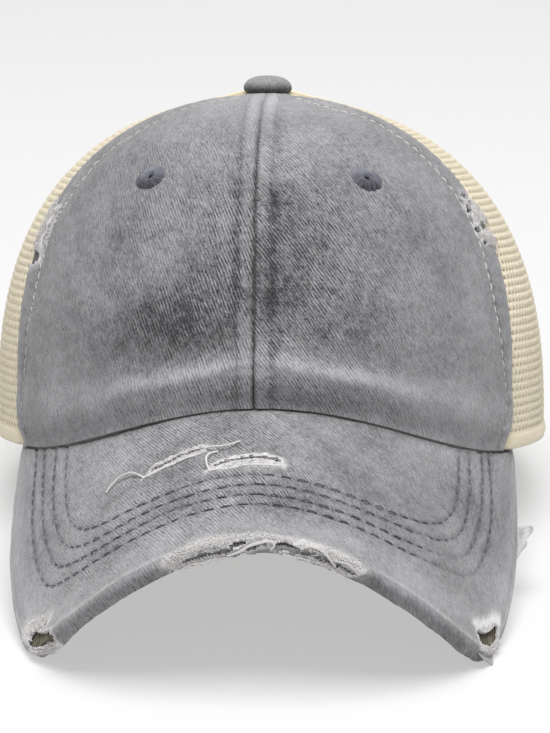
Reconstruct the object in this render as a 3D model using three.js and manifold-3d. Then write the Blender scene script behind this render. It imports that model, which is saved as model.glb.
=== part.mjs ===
// A ponytail baseball cap: two cloth front panels, four net panels, a curved visor of cloth over a board,
// a sweatband, a covered button, two stitched eyelets, and at the back a tall bound opening that two strap
// tabs close at its foot.
// It stands as it rests on a table, on the visor's corners and on the strap, with its front towards -Y.
import * as THREE from "three";
import { mergeVertices } from "three/addons/utils/BufferGeometryUtils.js";
import Module from "manifold-3d";

const wasm = await Module();
wasm.setup();
const rad = THREE.MathUtils.degToRad;

// Crown, in millimetres and degrees. Angles run round the crown from the front, positive towards +X.
const crownHalfWidth = 89;
const crownHalfLength = 98;
const crownHeight = 109;
const crownPeak = 3;
const crownPeakReach = 26;
const crownLean = 1.6;
const crownTwist = 1.9;
const rimArch = 17;
const rimArchEnd = 60;
const clothWall = 1.6;
const netWall = 1.2;
const gap = 0.3;
const tipHole = 2.5;
const seamFoot = 58;
const seamSweep = 8;
const seamBend = 1.4;
const rearSeam = 121;
const foldFade = 0.06;

// Visor
const visorRootAngle = 61;
const visorLength = 71.5;
const visorInset = 12;
const visorHalfWidth = crownHalfWidth - visorInset;
const visorTip = 5;
const visorCloth = 1.0;
const visorBoard = 2.0;
const visorBulge = 2.5;
const visorDip = 29.5;
const visorArchRadius = 57;
const visorSideSlope = 0.58;
const visorBlend = 3;
const visorPlumb = 0.5;
const edgeSquareness = 2 / 3;

// Sweatband, strap and rear opening
const bandWall = 1.2;
const bandGap = 0.9;
const bandHeight = 30;
const bandEnd = 142;
const bandDip = 0.2;
const openingHalfWidth = 40;
const openingStraight = 34;
const openingArch = 50;
const straightShare = 0.25;
const bindingWidth = 8;
const bindingWall = 1.0;
const bindingGap = 2 * gap;
const strapWall = 1.6;
const strapWidth = 20;
const strapLift = 1.5;
const strapOverlap = 12;
const strapStep = 12;
const strapStepLate = 4;
const strapClear = 0.4;

// How far the strap and the visor's corners are pressed flat by the cap's own weight
const strapPress = 0.5;
const visorPress = 0.8;

// Button and eyelets
const buttonRadius = 7.8;
const buttonDome = 4.2;
const buttonEdge = 1.2;
const buttonFoot = 0.9;
const eyeletRadius = 4.8;
const eyeletHole = 1.5;
const eyeletWall = 1.2;
const eyeletRise = 0.2;
const eyeletAngle = 29;
const eyeletHeight = 84;
const eyeletSeat = 0.45;

// Facets
const panelColumns = 9;
const panelRows = 13;
const visorColumns = 36;
const visorRows = 5;

const cloth = new THREE.MeshStandardMaterial({ name: "washed_twill", color: 0x97979b, roughness: 0.95 });
const net = new THREE.MeshStandardMaterial({ name: "cream_net", color: 0xe3d8bd, roughness: 0.9 });
const cotton = { name: "sweatband_cotton", color: 0xa1a1a3, roughness: 0.95 };
const lining = new THREE.MeshStandardMaterial(cotton);
const board = new THREE.MeshStandardMaterial({ name: "visor_board", color: 0x6d675c, roughness: 0.9 });
const thread = new THREE.MeshStandardMaterial({ name: "eyelet_thread", color: 0x63636f, roughness: 0.85 });

// Soft dents (negative) and swells of the front panels, seen alike on both sides of the centre seam.
// angle and spread are shares of the front panel's foot, along and reach are shares of the way up,
// and depth is a share of the crown's height.
const folds = [
  { angle: 0.3, spread: 0.45, along: 0.16, reach: 0.08, depth: 0.011 },
  { angle: 0.22, spread: 0.3, along: 0.34, reach: 0.08, depth: -0.012 },
  { angle: 0.62, spread: 0.25, along: 0.28, reach: 0.12, depth: 0.008 },
  { angle: 0.55, spread: 0.3, along: 0.58, reach: 0.14, depth: 0.006 },
];

// Rips and worn holes through the visor's upper cloth. across and along place both ends as shares of the
// way from the centre to a visor end and from the root to the edge, and width is a share of its length.
const rips = [
  { across: -0.29, along: 0.4, acrossEnd: -0.13, alongEnd: 0.317, width: 0.024 },
  { across: -0.09, along: 0.5, acrossEnd: 0.03, alongEnd: 0.517, width: 0.034 },
  { across: -0.6, along: 0.91, acrossEnd: -0.51, alongEnd: 0.92, width: 0.05 },
  { across: 0.54, along: 0.9, acrossEnd: 0.63, alongEnd: 0.92, width: 0.05 },
];

// Places where the visor's edge is worn through to the board: from and to are shares of the way from the
// centre to a visor end, and depth is how far in they reach as a share of the visor's length.
const wornEdges = [
  { from: -0.13, to: -0.03, depth: 0.028 },
  { from: 0.04, to: 0.15, depth: 0.028 },
];

// Height of the crown's lower edge: level round the sides and back, arched over the visor.
function rimHeight(theta) {
  const share = Math.min(1, Math.abs(theta) / rad(rimArchEnd));
  return (rimArch / 2) * (1 + Math.cos(Math.PI * share));
}

// The crown narrows as a power of a cosine and rises as a power of a sine.
// s runs from 0 at the rim to 1 at the top.
const narrowing = 0.8;
const rising = 0.735;
const coneShare = 0.1;
const reachOf = (s) => Math.pow(Math.max(0, Math.cos((s * Math.PI) / 2)), narrowing);
const riseOf = (s) => (1 - coneShare) * Math.pow(Math.sin((s * Math.PI) / 2), rising) + coneShare * s;

function bareCrown(theta, s) {
  const reach = reachOf(s);
  const x = crownHalfWidth * Math.sin(theta) * reach;
  const y = -crownHalfLength * Math.cos(theta) * reach;
  const foot = rimHeight(theta);
  const tent = Math.max(0, 1 - Math.hypot(x, y) / crownPeakReach);
  const rise = riseOf(s);
  const z = foot + (crownHeight - foot) * rise + crownPeak * tent * tent;
  return new THREE.Vector3(x - crownLean * rise * rise, y, z);
}

function crownNormal(theta, s) {
  const step = 1e-3;
  const low = Math.max(step, Math.min(1 - 2 * step, s));
  const around = bareCrown(theta + step, low).sub(bareCrown(theta - step, low));
  const up = bareCrown(theta, low + step).sub(bareCrown(theta, low - step));
  return around.cross(up).normalize();
}

// The washed crown has turned a little on its visor, most in front.
// This is the angle that a seam or eyelet has moved to.
const twisted = (theta) => theta - (rad(crownTwist) * (1 + Math.cos(theta))) / 2;

// How far the folds push a point of the front panels out.
// They fade towards the side seams and the crown's foot.
function foldDepth(theta, v) {
  const across = Math.abs(theta - twisted(0)) / rad(seamFoot);
  if (across >= 1) return 0;
  const fade = (1 - across * across) * Math.min(1, v / foldFade);
  const sum = folds.reduce((total, f) => {
    const a = (across - f.angle) / f.spread;
    const b = (v - f.along) / f.reach;
    return total + f.depth * Math.exp(-a * a - b * b);
  }, 0);
  return sum * crownHeight * fade;
}

// Even steps of length up the side of the crown, as a table from share of length to s.
const lengthSteps = 240;
const lengths = [0];
for (let i = 1; i <= lengthSteps; i++) {
  const a = bareCrown(Math.PI / 2, (i - 1) / lengthSteps);
  lengths.push(lengths[i - 1] + a.distanceTo(bareCrown(Math.PI / 2, i / lengthSteps)));
}
function upTheSide(v) {
  const target = v * lengths[lengthSteps];
  const i = Math.max(1, lengths.findIndex((length) => length >= target - 1e-9));
  return (i - 1 + (target - lengths[i - 1]) / (lengths[i] - lengths[i - 1])) / lengthSteps;
}
const topShare = bisect((v) => crownHalfWidth * reachOf(upTheSide(v)) - tipHole, 0.5, 0.9999);

// Where a falling function crosses zero between two values.
function bisect(f, from, to) {
  let [a, b] = [from, to];
  for (let i = 0; i < 50; i++) {
    const middle = (a + b) / 2;
    if (f(middle) > 0) a = middle;
    else b = middle;
  }
  return (a + b) / 2;
}

// A point of the crown, depth millimetres inside its outer surface, at a share v of the way up.
function crownPoint(theta, v, depth) {
  const s = upTheSide(v);
  const out = foldDepth(theta, v) - depth;
  return bareCrown(theta, s).addScaledVector(crownNormal(theta, s), out);
}

const shareAtHeight = (height) => bisect((v) => height - crownHeight * riseOf(upTheSide(v)), 0, 0.98);

// A point of the crown's back, seen from behind at x across and the given height.
function backPoint(x, height, depth) {
  const v = shareAtHeight(Math.max(0, height));
  const theta = Math.PI - Math.asin(x / (crownHalfWidth * reachOf(upTheSide(v))));
  const point = crownPoint(theta, v, depth);
  point.z += Math.min(0, height);
  return point;
}

// Angle of each seam at a share v of the way up: front centre, side, rear side and back centre.
const seams = [
  () => 0,
  (v) => rad(seamFoot + seamSweep * Math.sin(Math.min(1, v * seamBend) * (Math.PI / 2))),
  () => rad(rearSeam),
  () => Math.PI,
];

// A closed sheet: surface(u, v, inner) gives the outer and the inner face on a grid of columns and rows.
function sheet(surface, columns, rows) {
  const points = [];
  const faces = [];
  const index = (i, j, inner) => (inner * (columns + 1) + i) * (rows + 1) + j;
  for (let inner = 0; inner < 2; inner++)
    for (let i = 0; i <= columns; i++)
      for (let j = 0; j <= rows; j++) points.push(...surface(i / columns, j / rows, inner));
  const quad = (a, b, c, d) => faces.push(a, b, c, a, c, d);
  for (let i = 0; i < columns; i++)
    for (let j = 0; j < rows; j++) {
      quad(index(i, j, 0), index(i + 1, j, 0), index(i + 1, j + 1, 0), index(i, j + 1, 0));
      quad(index(i, j, 1), index(i, j + 1, 1), index(i + 1, j + 1, 1), index(i + 1, j, 1));
    }
  for (let i = 0; i < columns; i++) {
    quad(index(i, 0, 0), index(i, 0, 1), index(i + 1, 0, 1), index(i + 1, 0, 0));
    quad(index(i, rows, 0), index(i + 1, rows, 0), index(i + 1, rows, 1), index(i, rows, 1));
  }
  for (let j = 0; j < rows; j++) {
    quad(index(0, j, 0), index(0, j + 1, 0), index(0, j + 1, 1), index(0, j, 1));
    quad(index(columns, j, 0), index(columns, j, 1), index(columns, j + 1, 1), index(columns, j + 1, 0));
  }
  return facingOut(points, faces);
}

// Geometry from points and faces, turned round if its faces point inwards.
function facingOut(points, faces) {
  const corner = (k) => new THREE.Vector3().fromArray(points, faces[k] * 3);
  let volume = 0;
  for (let k = 0; k < faces.length; k += 3) volume += corner(k).dot(corner(k + 1).cross(corner(k + 2)));
  if (volume < 0) faces.reverse();
  const geometry = new THREE.BufferGeometry();
  geometry.setAttribute("position", new THREE.Float32BufferAttribute(points, 3));
  geometry.setIndex(faces);
  return geometry;
}

// Joining and cutting with manifold-3d.
function toSolid(geometry) {
  const bare = geometry.clone();
  bare.deleteAttribute("normal");
  bare.deleteAttribute("uv");
  const merged = mergeVertices(bare, 1e-4);
  return new wasm.Manifold(
    new wasm.Mesh({
      numProp: 3,
      vertProperties: new Float32Array(merged.attributes.position.array),
      triVerts: new Uint32Array(merged.index.array),
    }),
  );
}
function toGeometry(solid) {
  const mesh = solid.getMesh();
  const geometry = new THREE.BufferGeometry();
  geometry.setAttribute("position", new THREE.BufferAttribute(new Float32Array(mesh.vertProperties), 3));
  geometry.setIndex([...mesh.triVerts]);
  return geometry;
}
const cutBy = (geometry, ...cutters) =>
  toGeometry(cutters.reduce((solid, cutter) => solid.subtract(toSolid(cutter)), toSolid(geometry)));

// One crown panel between two seams, on the +X side or mirrored to the -X side.
function crownPanel(from, to, side, wall) {
  return sheet(
    (u, v, inner) => {
      const share = v * topShare;
      const spare = gap / 2 / (crownHalfWidth * reachOf(upTheSide(share)));
      const start = seams[from](share) + spare;
      const end = seams[to](share) - spare;
      return crownPoint(twisted(side * (start + (end - start) * u)), share, inner * wall);
    },
    panelColumns,
    panelRows,
  );
}

// The rear opening's outline from behind: straight sides under half an ellipse. out moves it outwards.
function openingOutline(w, out) {
  const rise = openingArch + out;
  const half = openingHalfWidth + out;
  const turn = Math.max(0, Math.min(1, (w - straightShare) / (1 - 2 * straightShare))) * Math.PI;
  const foot = Math.min(1, Math.min(w, 1 - w) / straightShare);
  return { x: half * Math.cos(turn), height: openingStraight * foot + rise * Math.sin(turn) };
}
function openingCutter() {
  const shape = new THREE.Shape();
  const below = -strapWidth;
  shape.moveTo(openingHalfWidth, below);
  const steps = 24;
  for (let i = 0; i <= steps; i++) {
    const p = openingOutline(i / steps, 0);
    shape.lineTo(p.x, p.height);
  }
  shape.lineTo(-openingHalfWidth, below);
  const prism = new THREE.ExtrudeGeometry(shape, { depth: 2 * crownHalfLength, bevelEnabled: false });
  return prism.rotateX(Math.PI / 2).translate(0, 2.05 * crownHalfLength, 0);
}

const binding = sheet(
  (u, v, inner) => {
    const p = openingOutline(u, v * bindingWidth);
    return backPoint(p.x, p.height + gap, -bindingGap - (1 - inner) * bindingWall);
  },
  28,
  2,
);

// The sweatband, inside the wall, reaching down over the visor's root in front.
const visorDepth = 2 * visorCloth + visorBoard + 2 * gap;
const bandDepth = clothWall + bandGap;
function sweatband() {
  return sheet(
    (u, v, inner) => {
      const theta = rad(bandEnd) * (2 * u - 1);
      const foot = rimHeight(theta);
      const base = crownPoint(theta, 0, bandDepth + inner * bandWall);
      const top = shareAtHeight(bandHeight);
      const point = v === 0 ? base : crownPoint(theta, top * v, bandDepth + inner * bandWall);
      const frontness = Math.min(1, foot / (rimArch * bandDip));
      point.z -= (1 - v) * (visorDepth + gap) * frontness;
      return point;
    },
    48,
    2,
  );
}

// A strap tab runs from the sweatband's end to just past the back.
// The outer tab steps out over the inner one.
function strapTab(side, isOuter) {
  const start = bandEnd + strapClear;
  const end = 180 + strapOverlap;
  const openingAngle = THREE.MathUtils.radToDeg(openingHalfWidth / crownHalfWidth);
  const stepFrom = 180 + strapStepLate - openingAngle;
  return sheet(
    (u, v, inner) => {
      const angle = start + (end - start) * u;
      const step = THREE.MathUtils.smoothstep(angle, stepFrom, stepFrom + strapStep);
      const depth = bandDepth + inner * strapWall - (isOuter ? step * (strapWall + gap) : 0);
      const height = strapLift + strapWidth * v;
      return crownPoint(side * rad(angle), shareAtHeight(height), depth);
    },
    10,
    1,
  );
}

// The visor: root under the crown's edge, ruled out to an edge that arches in front and falls straight
// at its sides.
const rootPoint = (u) => {
  const theta = u * rad(visorRootAngle);
  const point = crownPoint(theta, 0, clothWall);
  point.z -= gap;
  return point;
};
const rootEnd = rootPoint(1);
const squared = (value) => Math.sign(value) * Math.pow(Math.abs(value), edgeSquareness);
function edgePoint(u) {
  const turn = u * (Math.PI / 2);
  const x = visorHalfWidth * squared(Math.sin(turn));
  const start = -rootEnd.y + visorTip;
  const forward = (crownHalfLength + visorLength - start) * squared(Math.cos(turn));
  const front = rimArch - visorDip - (x * x) / (2 * visorArchRadius);
  const side = rootEnd.z - visorSideSlope * (forward + visorTip);
  const z = Math.max(front, side) + visorBlend * Math.log1p(Math.exp(-Math.abs(front - side) / visorBlend));
  return new THREE.Vector3(x, -start - forward, z);
}
function bareVisor(u, v) {
  const point = rootPoint(u).lerp(edgePoint(u), v);
  point.z += visorBulge * 4 * v * (1 - v) * (1 - u * u);
  return point;
}
function visorNormal(u, v) {
  const step = 0.01;
  const a = Math.max(-1 + step, Math.min(1 - step, u));
  const b = Math.max(step, Math.min(1 - step, v));
  const across = bareVisor(a + step, b).sub(bareVisor(a - step, b));
  const along = bareVisor(a, b + step).sub(bareVisor(a, b - step));
  return along.cross(across).normalize();
}
// A visor point, depth below the upper face, on a sheet whose edge lies inset from the visor's own edge.
// The layers lie plumb under each other at the root, against the sweatband, and square to the face
// further out.
function visorPoint(u, v, depth, inset) {
  const step = 0.005;
  const a = Math.max(-1 + step, Math.min(1 - step, u));
  const tangent = edgePoint(a + step).sub(edgePoint(a - step)).normalize();
  const normal = visorNormal(u, v);
  const inward = tangent.cross(visorNormal(u, 1)).normalize();
  const rootward = rootPoint(u).sub(edgePoint(u));
  if (inward.dot(rootward) < 0) inward.negate();
  const outness = Math.min(1, v / visorPlumb);
  const down = new THREE.Vector3(0, 0, -1).lerp(normal.clone().negate(), outness).normalize();
  down.multiplyScalar(-depth / down.dot(normal));
  return bareVisor(u, v).addScaledVector(inward, inset * v).add(down);
}
const even = (u) => 2 * u - 1;

// The upper cloth turns down over the visor's edge as a lip, which is the last row of its grid.
const upperCloth = sheet(
  (u, v, inner) => {
    const row = Math.round(v * (visorRows + 1));
    const isLip = row > visorRows;
    const share = Math.min(1, row / visorRows);
    if (!isLip) return visorPoint(even(u), share, inner * visorCloth, inner * visorCloth * (share === 1));
    return visorPoint(even(u), 1, visorDepth, inner * visorCloth);
  },
  visorColumns,
  visorRows + 1,
);
const visorLayer = (top, wall) =>
  sheet(
    (u, v, inner) => visorPoint(even(u), v, top + inner * wall, visorCloth + gap),
    visorColumns,
    visorRows,
  );
const boardTop = visorCloth + gap;
const lowerTop = boardTop + visorBoard + gap;

// A block laid on the visor between two of its points, as wide and deep as told, to cut the upper cloth.
function visorCutter(a, b, width, reach) {
  const start = visorPoint(a.u, a.v, 0, 0);
  const end = visorPoint(b.u, b.v, 0, 0);
  const along = end.clone().sub(start);
  const normal = visorNormal((a.u + b.u) / 2, (a.v + b.v) / 2);
  const direction = along.clone().normalize();
  const beside = normal.clone().cross(direction).normalize();
  const up = direction.clone().cross(beside);
  const block = new THREE.BoxGeometry(along.length(), width, 2 * reach);
  const centre = start.add(end).multiplyScalar(0.5);
  const placed = new THREE.Matrix4().makeBasis(direction, beside, up).setPosition(centre);
  return block.applyMatrix4(placed);
}
const ripCutters = rips.map((rip) => {
  const start = { u: rip.across, v: rip.along };
  const end = { u: rip.acrossEnd, v: rip.alongEnd };
  return visorCutter(start, end, rip.width * visorLength, visorDepth / 2);
});
const wornCutters = wornEdges.map((worn) => {
  const [start, end] = [worn.from, worn.to].map((u) => ({ u, v: 1 }));
  return visorCutter(start, end, 2 * worn.depth * visorLength, 2 * visorDepth);
});

// How the cap rests: the tilt at which the visor's lowest points and the strap's foot are level.
const backFoot = crownPoint(Math.PI, shareAtHeight(strapLift), bandDepth);
const visorLow = (tilt) => {
  let lowest = Infinity;
  for (let i = 0; i <= 60; i++) {
    const p = visorPoint(i / 60, 1, visorDepth, 0);
    lowest = Math.min(lowest, p.z * Math.cos(tilt) - p.y * Math.sin(tilt));
  }
  return lowest;
};
const backLow = (tilt) => backFoot.z * Math.cos(tilt) - backFoot.y * Math.sin(tilt);
const restTilt = bisect((tilt) => backLow(tilt) + strapPress - visorLow(tilt) - visorPress, 0, rad(40));
const floorLevel = backLow(restTilt) + strapPress;

// Points that would lie under the table are pressed flat onto it.
const tableNormal = new THREE.Vector3(0, -Math.sin(restTilt), Math.cos(restTilt));
function pressed(geometry) {
  const position = geometry.attributes.position;
  const p = new THREE.Vector3();
  for (let i = 0; i < position.count; i++) {
    p.fromBufferAttribute(position, i);
    p.addScaledVector(tableNormal, Math.max(0, floorLevel - p.dot(tableNormal)));
    position.setXYZ(i, p.x, p.y, p.z);
  }
  return geometry;
}

// The button: a low dome whose underside follows the peak of the crown.
function buttonGeometry() {
  const top = crownHeight + crownPeak + gap;
  const under = (r) => top - r * ((2 * crownPeak) / crownPeakReach);
  const foot = buttonRadius * buttonFoot;
  const profile = [new THREE.Vector2(0, under(0) + gap), new THREE.Vector2(foot, under(foot))];
  const rim = under(buttonRadius) + buttonEdge;
  profile.push(new THREE.Vector2(buttonRadius, rim));
  for (const share of [0.92, 0.75, 0.5, 0.25])
    profile.push(new THREE.Vector2(buttonRadius * share, rim + buttonDome * Math.sqrt(1 - share * share)));
  profile.push(new THREE.Vector2(0, rim + buttonDome));
  return new THREE.LatheGeometry(profile, 18).rotateX(Math.PI / 2);
}

// An eyelet: a round-topped ring, made about +Z and turned to face out of the crown.
function eyeletGeometry() {
  const half = (eyeletRadius - eyeletHole) / 2;
  const middle = eyeletHole + half;
  const profile = [new THREE.Vector2(eyeletHole, 0)];
  for (let i = 0; i <= 4; i++) {
    const turn = Math.PI * (1 - i / 4);
    const radius = middle + half * Math.cos(turn);
    profile.unshift(new THREE.Vector2(radius, eyeletRise + eyeletWall * Math.sin(turn)));
  }
  profile.unshift(new THREE.Vector2(eyeletRadius, 0));
  profile.push(profile[0].clone());
  return new THREE.LatheGeometry(profile, 14).rotateX(Math.PI / 2);
}
const eyeletSpot = (side) => {
  const theta = twisted(side * rad(eyeletAngle));
  const v = bisect((share) => eyeletHeight - crownPoint(theta, share, 0).z, 0, 0.98);
  const normal = crownNormal(theta, upTheSide(v));
  return { point: crownPoint(theta, v, 0), normal };
};
const turnTo = (normal) => new THREE.Quaternion().setFromUnitVectors(new THREE.Vector3(0, 0, 1), normal);

const cap = new THREE.Group();
function add(name, geometry, material) {
  const mesh = new THREE.Mesh(geometry, material);
  mesh.name = name;
  cap.add(mesh);
  return mesh;
}

const sides = { left: 1, right: -1 };
for (const [name, side] of Object.entries(sides)) {
  const spot = eyeletSpot(side);
  const reach = 8 * clothWall;
  const drill = new THREE.CylinderGeometry(eyeletHole, eyeletHole, reach, 12).rotateX(Math.PI / 2);
  drill.applyQuaternion(turnTo(spot.normal)).translate(...spot.point);
  add(`front_panel_${name}`, cutBy(crownPanel(0, 1, side, clothWall), drill), cloth);
  add(`side_net_panel_${name}`, crownPanel(1, 2, side, netWall), net);
  add(`back_net_panel_${name}`, pressed(cutBy(crownPanel(2, 3, side, netWall), openingCutter())), net);
  const eyelet = add(`eyelet_${name}`, eyeletGeometry(), thread);
  eyelet.quaternion.copy(turnTo(spot.normal));
  eyelet.position.copy(spot.point).addScaledVector(spot.normal, eyeletSeat);
}
add("opening_binding", pressed(binding), cloth);
add("sweatband", sweatband(), lining);
add("strap_tab_outer", pressed(strapTab(sides.left, true)), cloth);
add("strap_tab_inner", pressed(strapTab(sides.right, false)), cloth);
add("visor_upper_cloth", pressed(cutBy(upperCloth, ...ripCutters, ...wornCutters)), cloth);
add("visor_board", visorLayer(boardTop, visorBoard), board);
add("visor_lower_cloth", pressed(visorLayer(lowerTop, visorCloth)), cloth);
const button = add("crown_button", buttonGeometry(), cloth);
button.position.x = -crownLean;

// The cap is tilted to its rest, set on the table and centred over the origin.
cap.rotation.x = -restTilt;
cap.position.z = -floorLevel;
const part = new THREE.Group();
part.add(cap);
part.updateMatrixWorld(true);
const box = new THREE.Box3().setFromObject(part, true);
cap.position.y = -(box.min.y + box.max.y) / 2;

export default part;
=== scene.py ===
# %% [markdown]
# # A washed baseball cap with a net back
# The real cap has two faded twill panels in front, four cream net panels behind, a curved visor with four
# rows of stitches, rips and worn corners, and a tall opening at the back. Every piece below is a surface
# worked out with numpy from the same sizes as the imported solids, so each one lies where its solid lies.

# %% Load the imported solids
import math

import bpy
import numpy as np
from mathutils import Matrix


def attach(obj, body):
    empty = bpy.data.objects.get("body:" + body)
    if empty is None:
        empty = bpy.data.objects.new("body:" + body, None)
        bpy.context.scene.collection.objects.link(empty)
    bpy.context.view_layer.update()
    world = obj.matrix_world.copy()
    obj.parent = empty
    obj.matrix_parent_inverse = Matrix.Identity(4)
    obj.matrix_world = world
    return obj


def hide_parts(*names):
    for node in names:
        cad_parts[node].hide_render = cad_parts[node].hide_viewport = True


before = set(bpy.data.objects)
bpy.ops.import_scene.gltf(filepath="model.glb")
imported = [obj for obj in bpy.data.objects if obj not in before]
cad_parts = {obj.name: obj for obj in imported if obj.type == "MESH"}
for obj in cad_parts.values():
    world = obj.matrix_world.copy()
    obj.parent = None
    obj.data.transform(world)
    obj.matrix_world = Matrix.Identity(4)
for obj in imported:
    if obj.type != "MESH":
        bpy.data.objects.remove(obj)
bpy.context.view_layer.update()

# %% [markdown]
# ## Where the cap stands and where the photographer stood
# The crown is easiest to describe level, with its rim flat, but the cap rests tilted on its visor and
# strap. So all shapes are made in millimetres in the cap's own level frame, and one turn and shift sets
# their points on the table, where the solids already stand. A camera could be placed by eye, but this one
# was fitted to the outline in the photograph: its height, its distance and the small lens shift.

# %% Rest and camera
REST_TILT = math.radians(13.146)
REST_SHIFT = np.array([0.0, 34.4597, 19.7610])
PHOTO_WIDTH, PHOTO_HEIGHT, SENSOR = 550, 733, 36


def on_table(points):
    """Turns level points back by the rest tilt, shifts them, presses what would lie below the table flat onto
    it, and gives metres."""
    x, y, z = np.moveaxis(np.asarray(points, float), -1, 0)
    cosine, sine = math.cos(REST_TILT), math.sin(REST_TILT)
    placed = np.stack([x, y * cosine + z * sine, -y * sine + z * cosine], -1) + REST_SHIFT
    placed[..., 2] = np.maximum(placed[..., 2], 0.02)
    return placed / 1000


def look_from(azimuth, elevation, distance, target, focal_pixels, target_pixel):
    """A camera at this azimuth and elevation round the target. Its lens gives so many pixels of focal length
    in a picture of the photograph's size, and its shift sets the target on the given pixel."""
    a, e = math.radians(azimuth), math.radians(elevation)
    back = np.array([math.sin(a) * math.cos(e), -math.cos(a) * math.cos(e), math.sin(e)])
    right = np.array([math.cos(a), math.sin(a), 0.0])
    up = np.cross(back, right)
    place = np.asarray(target) + distance * back
    data = bpy.data.cameras.new("camera")
    data.sensor_width = SENSOR
    data.lens = focal_pixels * SENSOR / PHOTO_HEIGHT
    data.shift_x = (PHOTO_WIDTH / 2 - target_pixel[0]) / PHOTO_HEIGHT
    data.shift_y = (target_pixel[1] - PHOTO_HEIGHT / 2) / PHOTO_HEIGHT
    data.clip_start, data.clip_end = 0.05, 50
    camera = bpy.data.objects.new("camera", data)
    turn = np.eye(4)
    turn[:3, 0], turn[:3, 1], turn[:3, 2], turn[:3, 3] = right, up, back, place
    camera.matrix_world = Matrix(turn.tolist())
    bpy.context.scene.collection.objects.link(camera)
    return camera


bpy.context.scene.camera = look_from(azimuth=1.36, elevation=19.326, distance=1.0, target=REST_SHIFT / 1000,
                                     focal_pixels=3053, target_pixel=(270.8, 429.5))
bpy.context.scene.view_settings.view_transform = "Standard"
print("camera lens", round(bpy.context.scene.camera.data.lens, 1), "mm")

# %% [markdown]
# ## Floor and light
# A studio shot on white: a pale table that is softly lit from below, a bright even surrounding, and one
# large soft lamp overhead, a little in front. Several lamps would throw several shadows, and the photograph
# has only one, which is pale. So the crown's top and the visor's front are lightest, and the upright cloth
# is about half as bright.

# %% Floor and lamps
def pale_floor(size):
    """One flat square, size metres wide, at height zero."""
    half = size / 2
    mesh = bpy.data.meshes.new("floor")
    corners = [(-half, -half, 0), (half, -half, 0), (half, half, 0), (-half, half, 0)]
    mesh.from_pydata(corners, [], [(0, 1, 2, 3)])
    floor = bpy.data.objects.new("floor", mesh)
    bpy.context.scene.collection.objects.link(floor)
    material = bpy.data.materials.new("pale_floor")
    material.use_nodes = True
    shader = material.node_tree.nodes["Principled BSDF"]
    shader.inputs["Base Color"].default_value = (0.4, 0.4, 0.4, 1)
    shader.inputs["Emission Color"].default_value = (1, 1, 1, 1)
    shader.inputs["Emission Strength"].default_value = 0.45
    shader.inputs["Roughness"].default_value = 0.9
    mesh.materials.append(material)


def soft_lamp(name, place, size, watts):
    """A square lamp, size metres wide, that faces the cap from its place."""
    data = bpy.data.lights.new(name, "AREA")
    data.size = size
    data.energy = watts
    lamp = bpy.data.objects.new(name, data)
    place = np.asarray(place, float)
    back = place - np.array([0, 0, 0.06])
    back /= np.linalg.norm(back)
    right = np.cross([0, 1, 0.01], back)
    right /= np.linalg.norm(right)
    turn = np.eye(4)
    turn[:3, 0], turn[:3, 1], turn[:3, 2], turn[:3, 3] = right, np.cross(back, right), back, place
    lamp.matrix_world = Matrix(turn.tolist())
    bpy.context.scene.collection.objects.link(lamp)


pale_floor(size=12)
soft_lamp("upper_lamp", place=(0.08, -0.35, 1.75), size=1.2, watts=36)
world = bpy.data.worlds.new("studio")
world.use_nodes = True
world.node_tree.nodes["Background"].inputs["Color"].default_value = (1, 1, 1, 1)
world.node_tree.nodes["Background"].inputs["Strength"].default_value = 0.38
bpy.context.scene.world = world

# %% [markdown]
# ## The crown's surface
# A cap's crown is a dome that is a little longer than wide. It could be sculpted by hand, but then nothing
# would hold it to its solid, so it is a formula. Each point has an angle round the crown, from the front,
# and a share of the way up. The radius shrinks as a power of a cosine and the height grows as a power of a
# sine, which gives the steep sides and rounded shoulders of a structured cap.

# %% Crown sizes and surface
HALF_WIDTH, HALF_LENGTH, CROWN_HEIGHT = 89.0, 98.0, 109.0
NET_RADIUS, SEAM_RADIUS = 94.0, 92.0
PEAK, PEAK_REACH, LEAN, TWIST = 3.0, 26.0, 1.6, math.radians(1.9)
RIM_ARCH, RIM_ARCH_END = 17.0, math.radians(60)
SEAM_FOOT, SEAM_SWEEP, REAR_SEAM = math.radians(58), math.radians(8), math.radians(121)
# Soft folds: place and width across as shares of a panel, place and width up, depth as a share of the height.
FOLDS = [(0.3, 0.45, 0.16, 0.08, 0.011), (0.22, 0.3, 0.34, 0.08, -0.012), (0.62, 0.25, 0.28, 0.12, 0.008),
         (0.55, 0.3, 0.58, 0.14, 0.006)]


def rim_height(theta):
    """Half a cosine wave: arched over the visor, level from 60 degrees on round the back."""
    return RIM_ARCH / 2 * (1 + np.cos(np.pi * np.minimum(1, np.abs(theta) / RIM_ARCH_END)))


def reach_of(s):
    """Share of the full radius at s of the way up: a cosine to the power 0.8."""
    return np.maximum(0, np.cos(s * np.pi / 2)) ** 0.8


def rise_of(s):
    """Share of the full height: nine tenths of a sine to the power 0.735 and one tenth of s itself."""
    return 0.9 * np.sin(s * np.pi / 2) ** 0.735 + 0.1 * s


def bare_crown(theta, s):
    """Ellipse of radius reach at a height that runs from the rim to the top, with a low tent under the button
    and a small lean to the side."""
    reach, rise, foot = reach_of(s), rise_of(s), rim_height(theta)
    x = HALF_WIDTH * np.sin(theta) * reach
    y = -HALF_LENGTH * np.cos(theta) * reach
    tent = np.maximum(0, 1 - np.hypot(x, y) / PEAK_REACH)
    z = foot + (CROWN_HEIGHT - foot) * rise + PEAK * tent ** 2
    return np.stack([x - LEAN * rise ** 2, y, z], -1)


def unit(vectors):
    return vectors / np.maximum(np.linalg.norm(vectors, axis=-1, keepdims=True), 1e-9)


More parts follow.
